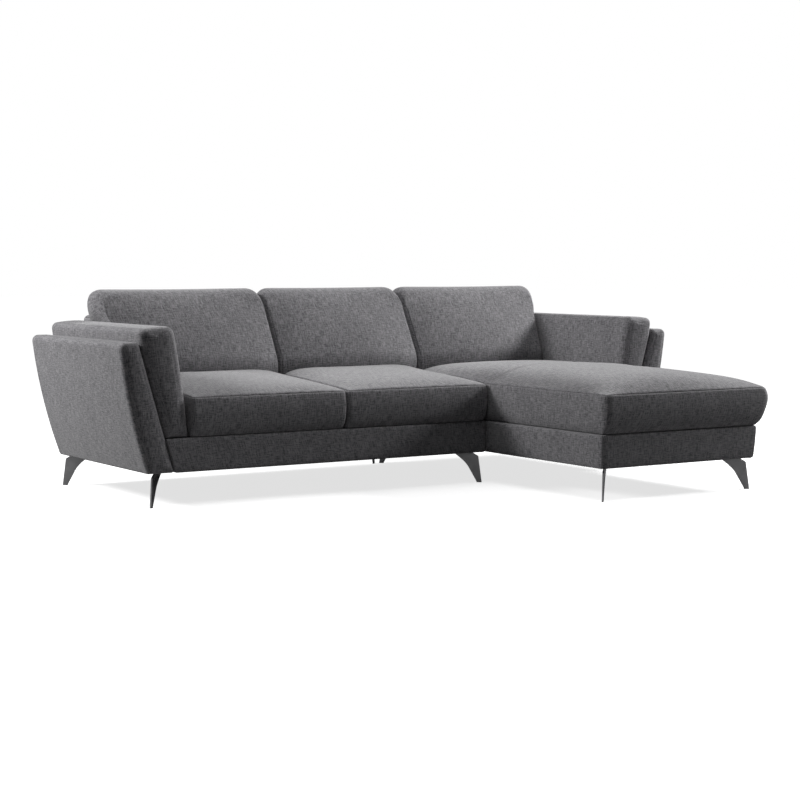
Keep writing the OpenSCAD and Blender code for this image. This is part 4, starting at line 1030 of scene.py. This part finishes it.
def plan_ring(corners, radii, cell=0.03):
    """A stack of closed rings in plan from stacks of corners: each corner is bent over its radius, and
    the straights between are divided evenly."""
    count = corners.shape[1]
    bends = [
        bent_corner(corners[:, k - 1], corners[:, k], corners[:, (k + 1) % count], radii[k], 6)
        for k in range(count)
    ]
    parts, marks = [], []
    total = 0
    for k in range(count):
        first, last = bends[k][:, -1:], bends[(k + 1) % count][:, :1]
        steps = max(2, int(round(np.linalg.norm(last - first, axis=-1).max() / cell)))
        t = np.linspace(0, 1, steps + 1)[None, 1:-1, None]
        marks.append(total + 3)
        parts += [bends[k], first + (last - first) * t]
        total += bends[k].shape[1] + t.shape[1]
    return np.concatenate(parts, 1), marks


BAND_THICK, BAND_ROUND, DECK_CELL = 0.012, 0.008, 0.03


def base_band(corners_at, radii, z0, z1, seam_corners):
    """The padded cover round a base, as a closed tube. Its profile runs up the outer face, which bellies
    by 1.5 mm, over a round top edge, down the inside and back under a round bottom edge."""
    r, belly_out, belly_power = BAND_ROUND, 0.0015, 2.5
    turn = np.linspace(0, pi / 2, 7)
    up = np.linspace(z0 + r, z1 - r, 11)
    belly = belly_out * dome((up - z0) / (z1 - z0), belly_power)
    outer = np.stack((belly, up), -1)
    top = np.stack((-r + r * np.cos(turn), z1 - r + r * np.sin(turn)), -1)[1:]
    inner = np.stack((np.full(7, -BAND_THICK), np.linspace(z1, z0, 7)), -1)
    under = np.stack((-r + r * np.sin(turn), z0 + r - r * np.cos(turn)), -1)[:-1]
    profile = np.vstack((outer, top, inner, under))
    corners = np.stack([corners_at(z, -d) for d, z in profile])
    ring, marks = plan_ring(corners, radii)
    z = np.broadcast_to(profile[:, 1][:, None, None], (*ring.shape[:2], 1))
    return closed_ring(np.concatenate((ring, z), -1), [marks[k] for k in seam_corners])


def love_corners(p):
    """The call that gives the corners of the two-seat base at height z, drawn in by d. The left side leans
    with the arm's seam."""

    def at(z, d):
        left, right = -p.seam_x(z) + p.fit + d, p.love_side_x - d
        front, rear = p.front_y + d, p.rear_y - d
        return np.array(((left, front), (right, front), (right, rear), (left, rear)))

    return at


def chaise_corners(s, p):
    """The call that gives the corners of the chaise base at height z, drawn in by d. Its open side leans
    out, and behind the front of the arm it follows the arm's seam."""

    def at(z, d):
        left, front, rear = p.chaise_side_x + d, p.chaise_y + d, p.rear_y - d
        wing = p.wing_foot_x + (z - s.leg_h) * p.wing_slope - d
        arm, end = p.seam_x(z) - p.fit - d, p.front_y - p.fit - d
        return np.array(
            ((left, front), (wing, front), (wing, end), (arm, end + 0.0006), (arm, rear), (left, rear))
        )

    return at


def deck_form(x0, x1_at, y, top):
    """A padded deck: a sheet under its top with a half round edge. x1_at gives its right side for each
    Y."""

    def place(su, yy, w):
        d = border_draw(w, BAND_THICK / 2)
        x, at = np.broadcast_arrays(mix(x0 + d, x1_at(yy) - d, su), np.clip(yy, y[0] + d, y[-1] - d))
        z = mix(top - BAND_THICK, top, w) + np.zeros_like(x)
        return np.stack((x, at, z), -1)

    su = spaced(x1_at(y[:1])[0] - x0, DECK_CELL, NEAR_DECK)
    return between(place, su, y, HALF_ROUND, SEAMED)


def deck_rows(low, high):
    """Stations of a deck along Y."""
    return spaced(high - low, DECK_CELL, NEAR_DECK) * (high - low) + low


class SOFA_OT_bases(Operator):
    """Builds the padded covers and the seat decks of both bases"""

    bl_idname = "sofa.bases"
    bl_label = "Bases"

    def execute(self, context):
        s, p = sizes_and_plan(context)
        bands = (  # the corners, their radii, and which of them have seams
            ("loveseat", love_corners(p), (0.004, 0.010, 0.010, 0.004), (1, 2)),
            ("chaise", chaise_corners(s, p), (0.005, 0.014, 0.004, 0.0002, 0.004, 0.010), (0, 1, 5)),
        )
        for name, corners_at, radii, seam_corners in bands:
            band = base_band(corners_at, radii, s.leg_h, p.deck_z, seam_corners)
            nodes = [f"{name}_{kind}" for kind in ("front_band", "side_bands", "rear_band")]
            cover(f"{name}_base_cover", sewn(band, s), nodes)
        step, end_y, deck_fill = p.front_y - p.fit, p.foot_y + 0.024, 0.5
        love_right = lambda y: np.full(np.shape(y), p.love_side_x - BAND_THICK)
        chaise_right = lambda y: np.where(y <= step, p.wing_foot_x - BAND_THICK, p.arm_rail_x) + 0.0 * y
        love_y, chaise_y = (deck_rows(y + BAND_THICK, end_y) for y in (p.front_y, p.chaise_y))
        at_step = (step - 0.002, step, step + 0.0005, step + 0.004)
        chaise_y = np.sort(np.concatenate((chaise_y, at_step)))
        decks = (  # the left side, the right side for each Y, and the stations along Y
            ("loveseat", -p.arm_rail_x, love_right, love_y),
            ("chaise", p.chaise_side_x + BAND_THICK, chaise_right, chaise_y),
        )
        for name, *row in decks:
            cover(f"{name}_deck_cover", deck_form(*row, p.deck_z), [f"{name}_deck"], deck_fill)
        return {"FINISHED"}


# Back


def back_ribbon(s, p, x0_at, x1_at):
    """The padded inside back: a ribbon up the slope, over a quarter roll and along the top. Each point of
    its outer line has an inner point one thickness behind it, 20 mm on the slope and 10 mm on the top."""
    roll, before_rear, edge_r = 0.022, 0.0124, 0.004
    slope_thick, top_thick, over = 0.0195, 0.0097, 0.045
    roll_z = s.back_h - roll
    centre = np.array((p.slope_y(roll_z, roll), roll_z))
    t = np.linspace(pi - p.rake, pi / 2, 13)
    arc = centre + roll * np.stack((np.cos(t), np.sin(t)), -1)
    start = np.array((p.slope_y(p.deck_z, 0.0), p.deck_z + p.fit))
    end = np.array((p.rear_face(s.back_h) - before_rear, s.back_h))
    slope = mix(start, arc[0], np.linspace(0, 1, 24)[:-1, None])
    line = np.vstack((slope, arc, mix(arc[-1], end, np.linspace(0, 1, 9)[1:, None])))
    way = np.gradient(line, axis=0)
    normal = np.stack((way[:, 1], -way[:, 0]), -1) / np.linalg.norm(way, axis=1, keepdims=True)
    run = arc_length(line, 0)
    thick = mix(slope_thick, top_thick, smooth((run - run[len(slope)]) / over))
    behind = line + normal * thick[:, None]

    def place(u, row, w):
        d = border_draw(w, edge_r)
        y, z = np.moveaxis(mix(behind[row], line[row], w), -1, 0)
        return np.stack(np.broadcast_arrays(mix(x0_at(z) + d, x1_at(z) - d, u), y, z), -1)

    su = spaced(abs(p.love_side_x - p.seat_line_x), 0.024, NEAR_DECK)
    return between(place, su, np.arange(len(line)), HALF_ROUND)


def cheek_form(p, x_at, way, span, out, room, deep=1.0):
    """The cloth that closes one end of a back, between the inside back and the outside back: a thin closed
    sheet beside the posts over a span of heights, whose depth in Y runs from the slope to the rear face at
    each height, or over deep in front of that face where this is less. It stands out past the end's line by
    out, and its thickness is the room beside the post, up to 6 mm."""
    behind_slope, before_rear, thinnest, thickest, cell = 0.0225, 0.0125, 0.0009, 0.006, 0.015
    count = max(4, int(round((span[1] - span[0]) / cell)))
    su, z = spaced(0.1, 0.02, (0.003, 0.008)), np.linspace(*span, count)

    def place(u, zz, w):
        thick = np.clip(room(zz), thinnest, thickest)
        rear_y = p.rear_face(zz) - before_rear
        y = mix(np.maximum(p.slope_y(zz, behind_slope), rear_y - deep), rear_y, u)
        x = x_at(zz) + way * ((1 - w) * thick - out) + 0 * y
        return np.stack((x, y, zz + 0 * y), -1)

    return between(place, su, z, (0.5,))


def rear_panel(s, p, x0_at, x1_at):
    """The outside back: a flat padded panel on the leaning rear face, with a small round edge."""
    thick, edge_r, cell, nominal_w = 0.0119, 0.005, 0.03, 0.7
    high = s.back_h - p.deck_z - p.fit
    z = spaced(high, cell, NEAR_PANEL) * high + p.deck_z + p.fit

    def place(u, zz, w):
        d = border_draw(w, edge_r)
        at = np.clip(zz, z[0] + d, z[-1] - d)
        x = mix(x0_at(at) + d, x1_at(at) - d, u)
        return np.stack(np.broadcast_arrays(x, p.rear_face(at) - (1 - w) * thick, at), -1)

    return between(place, spaced(nominal_w, cell, NEAR_PANEL), z, HALF_ROUND, SEAMED)


def strap_form(p, x0, x1, foot):
    """One elastic strap across the posts, behind the inside back: a thin closed sheet on the slope. Its
    thickness is less by a quarter of a dome across it."""
    wide, depth, thick = 0.060, 0.0203, 0.002

    def place(u, v, w):
        deep = depth + thick * (1 - w) * (1 - 0.25 * dome(v, 6))
        return on_slope(p, *np.broadcast_arrays(mix(x0, x1, u), foot + wide * v, -deep))

    return between(place, np.linspace(0, 1, 40), spaced(wide, 0.012, (0.002, 0.005)), (0.5,))


class SOFA_OT_backs(Operator):
    """Builds the inside and outside backs and the straps behind them"""

    bl_idname = "sofa.backs"
    bl_label = "Backs"

    def execute(self, context):
        s, p = sizes_and_plan(context)
        bend, clear, top, low = 0.030, 0.006, s.back_h - 0.0105, p.deck_z + 0.042
        strap_foot, strap_pitch, straps = 0.060, 0.095, 4
        inside_fill, outside_fill, strap_fill = 0.6, 0.4, 1.0
        above = lambda z: np.clip(z - s.back_h + bend, 0, bend)
        arm = lambda z: p.pad_x(z) - clear - bend + np.sqrt(bend**2 - above(z) ** 2)
        foot = lambda z: np.maximum(arm(z), p.inner_x - 0.0005)
        pad_room = lambda z: p.pad_slope * (z - p.deck_z) - 0.0022
        foot_room, joint_room = lambda z: 0.0009 + 0 * z, lambda z: 0.006 + 0 * z
        foot_span, joint_span = (p.deck_z + 0.0015, low + 0.002), (p.deck_z + 0.004, top)
        for name, way, joint_x in (("loveseat", 1, p.love_side_x), ("chaise", -1, p.chaise_side_x)):
            at_joint = lambda z: joint_x + 0 * z
            at_arm, at_foot = lambda z: -way * arm(z), lambda z: -way * foot(z)
            at_pad = lambda z: way * (0.0001 - p.inner_x) + 0 * z
            sides = lambda end: (end, at_joint) if way > 0 else (at_joint, end)
            cheeks = (  # the end's line, the way in, the heights, how far it stands out, and the room
                (at_arm, way, (low, top), 0.0045, pad_room),
                (at_pad, way, foot_span, 0.0, foot_room, 0.030),
                (at_joint, -way, joint_span, -0.001, joint_room),
            )
            inside = [back_ribbon(s, p, *sides(at_arm)), *[cheek_form(p, *row) for row in cheeks]]
            cover(f"{name}_inside_back_cover", joined(inside), [f"{name}_inside_back"], inside_fill)
            panel = sewn(rear_panel(s, p, *sides(at_foot)), s)
            cover(f"{name}_outside_back_cover", panel, [f"{name}_outside_back"], outside_fill)
            node = f"{name}_back_straps"
            ends = [corner.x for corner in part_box(node)]
            form = joined([strap_form(p, *ends, strap_foot + strap_pitch * k) for k in range(straps)])
            webbing = build(node + "_webbing", form, "Black lining", [node])
        return {"FINISHED"}


# Underside


def lining_form(xs, ys, keep, z):
    """A thin lining: two grids over given lines in X and Y, 1.1 mm apart, less the cells that keep turns
    down, with a wall along every edge of what is left."""
    above, thick, sag_deep, waves, seed = 0.0005, 0.0011, 0.0003, 14, 71
    gx, gy = np.meshgrid(xs, ys)
    grid = np.arange(gx.size).reshape(gx.shape)
    stay = keep((gx[:-1, :-1] + gx[1:, 1:]) / 2, (gy[:-1, :-1] + gy[1:, 1:]) / 2)
    cell = np.stack((grid[:-1, :-1], grid[:-1, 1:], grid[1:, 1:], grid[1:, :-1]), -1)[stay]
    sag = sag_deep * ripple(gx * waves, gy * waves, seed)
    low = np.stack((gx, gy, z + above + sag), -1).reshape(-1, 3)
    high = low + (0, 0, thick)
    edges = np.concatenate([cell[:, [k, (k + 1) % 4]] for k in range(4)])
    key = edges[:, 0] * gx.size + edges[:, 1]
    back = edges[:, 1] * gx.size + edges[:, 0]
    rim = edges[~np.isin(key, back)]
    wall = np.stack((rim[:, 0], rim[:, 1], rim[:, 1] + gx.size, rim[:, 0] + gx.size), -1)
    quads = np.vstack((cell[:, ::-1], cell + gx.size, wall))
    used, quads = np.unique(quads, return_inverse=True)
    points, quads = np.vstack((low, high))[used], quads.reshape(-1, 4)
    gap = np.full(len(points), FAR)
    return SimpleNamespace(points=points, quads=quads, uv=points[quads][..., :2], seam=gap)


def lining_lines(low, high, stops, cell=0.05):
    """Grid lines from low to high that pass through every stop."""
    at = np.unique(np.round(np.array([low, *[q for q in stops if low < q < high], high]), 6))
    runs = [np.linspace(a, b, max(2, int((b - a) / cell) + 2)) for a, b in zip(at[:-1], at[1:])]
    return np.unique(np.concatenate(runs))


class SOFA_OT_linings(Operator):
    """Builds the black linings under both bases, cut out for the leg plates"""

    bl_idname = "sofa.linings"
    bl_label = "Linings"

    def execute(self, context):
        s, p = sizes_and_plan(context)
        near, far = 0.0377, 0.1183  # a plate's cut-out, from its corner
        legs, step, rear, t = leg_corners(p), p.front_y - p.fit, p.rear_y - BAND_THICK, BAND_THICK
        rows = (  # the sides, the front, and how many of the module's plates are inside them
            ("loveseat", -p.arm_rail_x, p.love_side_x - t, p.front_y + t, 2),
            ("chaise", p.chaise_side_x + t, p.wing_foot_x - t, p.chaise_y + t, 3),
        )
        span = lambda at, out: sorted((at - out * near, at - out * far))
        for name, x0, x1, y0, count in rows:
            holes = [(*span(x, out_x), *span(y, out_y)) for x, y, out_x, out_y in legs[name][:count]]

            def keep(x, y):
                """Whether a cell's middle is outside every hole and the step beside the arm."""
                inside = np.ones(x.shape, bool)
                for a, b, c, d in holes:
                    inside &= ~((x > a) & (x < b) & (y > c) & (y < d))
                if name == "chaise":
                    inside &= ~((x > p.arm_rail_x) & (y > step))
                return inside

            xs = lining_lines(x0, x1, [h for q in holes for h in q[:2]] + [p.arm_rail_x])
            ys = lining_lines(y0, rear, [h for q in holes for h in q[2:]] + [step])
            form = lining_form(xs, ys, keep, s.leg_h)
            piece = build(f"{name}_lining", form, "Black lining", [f"{name}_dust_cover"])
            size = (x1 - x0, rear - y0)
            area = size[0] * size[1] - len(holes) * (far - near) ** 2
            if name == "chaise":
                area -= (x1 - p.arm_rail_x) * (rear - step)
        return {"FINISHED"}


# Legs


PLATE_THICK = 0.004


def leg_corners(p):
    """Corners of both modules: X and Y, and the ways that point out of the module."""
    return {
        "loveseat": (
            (p.love_side_x, p.front_y, 1, -1), (p.love_side_x, p.rear_y, 1, 1),
            (-p.panel_foot_x, p.front_y, -1, -1), (-p.panel_foot_x, p.rear_y, -1, 1),
        ),
        "chaise": (
            (p.chaise_side_x, p.chaise_y, -1, -1), (p.wing_foot_x, p.chaise_y, 1, -1),
            (p.chaise_side_x, p.rear_y, -1, 1), (p.panel_foot_x, p.rear_y, 1, 1),
        ),
    }


def blade_form(s, corner):
    """A blade leg: a strip between an inner edge, which bends in a curve at its knee, and an outer edge
    with a shoulder. Through its thickness the outline draws in by a small round at both faces."""
    reach, tip_w, thick, r, inset = 0.140, 0.022, 0.006, 0.0009, 0.014
    head_w, glide, plate_z = 0.095, 0.0025, s.leg_h + PLATE_THICK
    knee_out, knee_up, bend_from, bend_to = 0.49, 0.66, 0.55, 0.3
    knee = np.array((reach * knee_out, s.leg_h * knee_up))
    head, tip = np.array((0.0, plate_z)), np.array((reach - tip_w, glide))
    start, end = head + (knee - head) * bend_from, knee + (tip - knee) * bend_to
    t = np.linspace(0, 1, 15)[:, None]
    bend = (1 - t) ** 2 * start + 2 * t * (1 - t) * knee + t * t * end
    inner = np.vstack((head[None], bend, tip[None]))
    shoulder = ((0.0175, 0.017), (0.0162, 0.0182), (0.0152, 0.0205), (0.015, 0.022))
    outer = [(head_w, plate_z), (head_w, s.leg_h - 0.001)]
    outer += [(reach - back, s.leg_h - down) for back, down in shoulder] + [(reach, glide)]
    u, v = spaced(0.17, 0.0035, (r, 2.5 * r)), spaced(0.05, 0.006, (r, 2.5 * r))
    a, b = resampled(inner, u), resampled(np.array(outer), u)
    flat = mix(a[:, None], b[:, None], v[None, :, None])
    rows, cols = flat.shape[:2]
    rr, cc = edge_of(rows, cols)
    centre = flat[:, cols // 2][:, None]
    off = inset + reach / 2**0.5

    def drawn(points, mid, d):
        """Points moved by d towards the middle of their row."""
        to = mid - points
        return points + to / np.maximum(np.linalg.norm(to, axis=-1, keepdims=True), TINY) * d

    def placed(points, across):
        along = off - points[..., 0] / 2**0.5
        return in_corner(corner, along + across / 2**0.5, along - across / 2**0.5, points[..., 1])

    edge_in = np.zeros((rows, cols, 1))
    edge_in[rr, cc] = r
    shape = drawn(flat, centre, edge_in)
    front, rear = placed(shape, thick / 2), placed(shape, -thick / 2)
    turn = np.linspace(0, pi / 2, 4)
    levels = [(-thick / 2 + r * (1 - cos(q)), r * (1 - sin(q))) for q in turn[1:]]
    levels += [(thick / 2 - r * (1 - cos(q)), r * (1 - sin(q))) for q in turn[:0:-1]]
    rim, mid = flat[rr, cc], flat[rr, [cols // 2] * len(rr)]
    rings = [placed(drawn(rim, mid, d), at) for at, d in levels]
    return closed_grid(front, rings, rear, seams=())


def plate_form(s, corner):
    """A leg's square plate: a thin rounded rectangle with bevelled edges."""
    low, high, z0, z1 = 0.038, 0.118, s.leg_h + PLATE_THICK, s.leg_h + 2 * PLATE_THICK
    bevel, corner_r = 0.0008, 0.006
    su = spaced(0.08, 0.012, (bevel, 0.003))

    def place(u, v, w):
        d = border_draw(w, bevel)
        x, y = np.broadcast_arrays(mix(low + d, high - d, u), mix(low + d, high - d, v))
        x, y = rounded(x, y, (low + d, low + d), (high - d, high - d), corner_r)
        return in_corner(corner, x, y, np.full(x.shape, mix(z0, z1, w)))

    return between(place, su, su, (0.12, 0.5, 0.88))


def outward(form):
    """The same form with its faces out, so that forms of both hands can be joined."""
    if not facing_out(form.points, form.quads):
        form.quads, form.uv = form.quads[:, ::-1], form.uv[:, ::-1]
    return form


class SOFA_OT_legs(Operator):
    """Builds the blade legs of both modules with their plates"""

    bl_idname = "sofa.legs"
    bl_label = "Legs"

    def execute(self, context):
        s, p = sizes_and_plan(context)
        for module, corners in leg_corners(p).items():
            forms = [outward(make(s, corner)) for corner in corners for make in (blade_form, plate_form)]
            nodes = [f"{module}_legs"]
            build(f"{module}_blade_legs", joined(forms), "Satin leg metal", nodes)
        return {"FINISHED"}


# Inner parts and finishes of the frame's own pieces


class SOFA_OT_inner_parts(Operator):
    """Gives wood, steel and plastic finishes to the parts of the frame that show as they are"""

    bl_idname = "sofa.inner_parts"
    bl_label = "Inner parts"

    def execute(self, context):
        words = {
            "springs": "Plated steel", "bolts": "Plated steel", "connector": "Plated steel",
            "clips": "Black moulded plastic", "glides": "Black moulded plastic",
        }
        for name, node in frame["nodes"].items():
            if not node.hide_render:
                kind = next((kind for word, kind in words.items() if word in name), "Frame hardwood")
                node.data.materials.clear()
                node.data.materials.append(finish(kind))
        return {"FINISHED"}


# Stage


AMBIENT, GLOSS = 0.04, 0.40
FLOOR_HALF = 40.0
CAMERA_AT, CAMERA_TURN = (-4.3383, -6.7031, 0.9864), (85.647, 0.0, -32.545)
LENS, SENSOR, CLIP_END = 82.49, 36.0, 100.0
LAMP_TARGET = (0.0, 0.1, 0.4)
LAMPS = (  # name, place, size, watts
    ("Overhead", (-0.4, 0.2, 4.4), (3.4, 2.6), 61.0),
    ("Right", (5.2, 0.3, 3.0), (1.2, 1.2), 206.0),
    ("Right front", (5.0, -1.6, 3.0), (1.2, 1.2), 130.0),
    ("Left rear", (-3.4, 1.6, 2.2), (1.0, 1.0), 101.0),
)


def lamp(name, at, size, power):
    """An area lamp whose light, along its own negative Z, points at the lamps' target."""
    data = bpy.data.lights.new(name, "AREA")
    data.shape = "RECTANGLE"
    data.size, data.size_y = size
    data.energy = power
    obj = bpy.data.objects.new(name, data)
    bpy.context.scene.collection.objects.link(obj)
    obj.location = at
    way = Vector(np.array(LAMP_TARGET) - np.array(obj.location))
    obj.rotation_euler = way.to_track_quat("-Z", "Y").to_euler()


def stage_world():
    """World light: a faint even grey, a mid grey where gloss sees it, and plain white for the camera."""
    world = bpy.data.worlds.new("Studio")
    world.use_nodes = True
    tree = world.node_tree
    tree.nodes.clear()
    link = tree.links.new
    path = tree.nodes.new("ShaderNodeLightPath")

    def light(colour, strength):
        """The output of an even light."""
        node = tree.nodes.new("ShaderNodeBackground")
        node.inputs["Color"].default_value = (*colour, 1)
        node.inputs["Strength"].default_value = strength
        return node.outputs[0]

    def picked(ray, otherwise, seen):
        """One light for a kind of ray and another for the rest."""
        node = tree.nodes.new("ShaderNodeMixShader")
        link(path.outputs[ray], node.inputs["Fac"])
        link(otherwise, node.inputs[1])
        link(seen, node.inputs[2])
        return node.outputs[0]

    even = picked("Is Glossy Ray", light((0.93, 0.96, 1.0), AMBIENT), light((1, 1, 1), GLOSS))
    sky = picked("Is Camera Ray", even, light((1, 1, 1), 1.0))
    link(sky, tree.nodes.new("ShaderNodeOutputWorld").inputs["Surface"])
    bpy.context.scene.world = world


def floor_material():
    """A pale floor that takes the sofa's shadow. To the camera it is nearly white, and quite white from 6 m
    out. To other rays it is a darker grey, so that it throws little light back up."""
    sockets = {"Roughness": 0.9, "Specular IOR Level": 0.0, "Emission Color": (1, 1, 1, 1)}
    n = Nodes("Studio floor", sockets)
    seen = n.add("LightPath").outputs["Is Camera Ray"]
    away = n.add("VectorMath", {"Vector": n.place()}, operation="LENGTH").outputs["Value"]
    glow = n.maths("MULTIPLY", seen, n.ranged(away, 2.5, 6.0, 0.74, 1.0))
    n.use(Base_Color=n.mixed(seen, (0.22, 0.22, 0.22), (0.80, 0.80, 0.80)), Emission_Strength=glow)
    return n.material


class SOFA_OT_studio(Operator):
    """Builds the floor, the lights and the camera"""

    bl_idname = "sofa.studio"
    bl_label = "Studio"

    def execute(self, context):
        scene, half = context.scene, FLOOR_HALF
        mesh = bpy.data.meshes.new("Floor")
        corners = [(-half, -half, 0), (half, -half, 0), (half, half, 0), (-half, half, 0)]
        mesh.from_pydata(corners, [], [(0, 1, 2, 3)])
        floor = bpy.data.objects.new("Floor", mesh)
        scene.collection.objects.link(floor)
        mesh.materials.append(floor_material())
        stage_world()
        for row in LAMPS:
            lamp(*row)
        data = bpy.data.cameras.new("Camera")
        data.sensor_width, data.lens, data.clip_end = SENSOR, LENS, CLIP_END
        camera = bpy.data.objects.new("Camera", data)
        camera.location = CAMERA_AT
        camera.rotation_euler = [radians(turn) for turn in CAMERA_TURN]
        scene.collection.objects.link(camera)
        scene.camera = camera
        scene.view_settings.view_transform = "Standard"
        return {"FINISHED"}


OPERATORS = (
    SOFA_OT_seat_cushions, SOFA_OT_chaise_cushion, SOFA_OT_back_cushions, SOFA_OT_arms, SOFA_OT_bases,
    SOFA_OT_backs, SOFA_OT_linings, SOFA_OT_legs, SOFA_OT_inner_parts, SOFA_OT_studio,
)


class SOFA_PT_pieces(Panel):
    """Lists the pieces of the sofa and its sizes and colours"""

    bl_label = "Sectional sofa"
    bl_idname = "SOFA_PT_pieces"
    bl_space_type = "VIEW_3D"
    bl_region_type = "UI"
    bl_category = "Sofa"

    def draw(self, context):
        """A button for each operator, then the sizes and the colours."""
        layout = self.layout
        for operator in OPERATORS:
            layout.operator(operator.bl_idname)
        for group in (context.scene.sofa_sizes, context.scene.sofa_colours):
            box = layout.box()
            for name in group.__annotations__:
                box.prop(group, name)


CLASSES = (SofaSizes, SofaColours, *OPERATORS, SOFA_PT_pieces)


def register():
    """Registers the classes and gives each scene its sizes and colours."""
    for cls in CLASSES:
        bpy.utils.register_class(cls)
    bpy.types.Scene.sofa_sizes = PointerProperty(type=SofaSizes)
    bpy.types.Scene.sofa_colours = PointerProperty(type=SofaColours)


def unregister():
    """Undoes what register did, in reverse."""
    del bpy.types.Scene.sofa_colours
    del bpy.types.Scene.sofa_sizes
    for cls in reversed(CLASSES):
        bpy.utils.unregister_class(cls)


def main():
    register()
    for operator in OPERATORS:
        name = operator.bl_idname.split(".")[1]
        getattr(bpy.ops.sofa, name)()


if __name__ == "__main__":
    main()
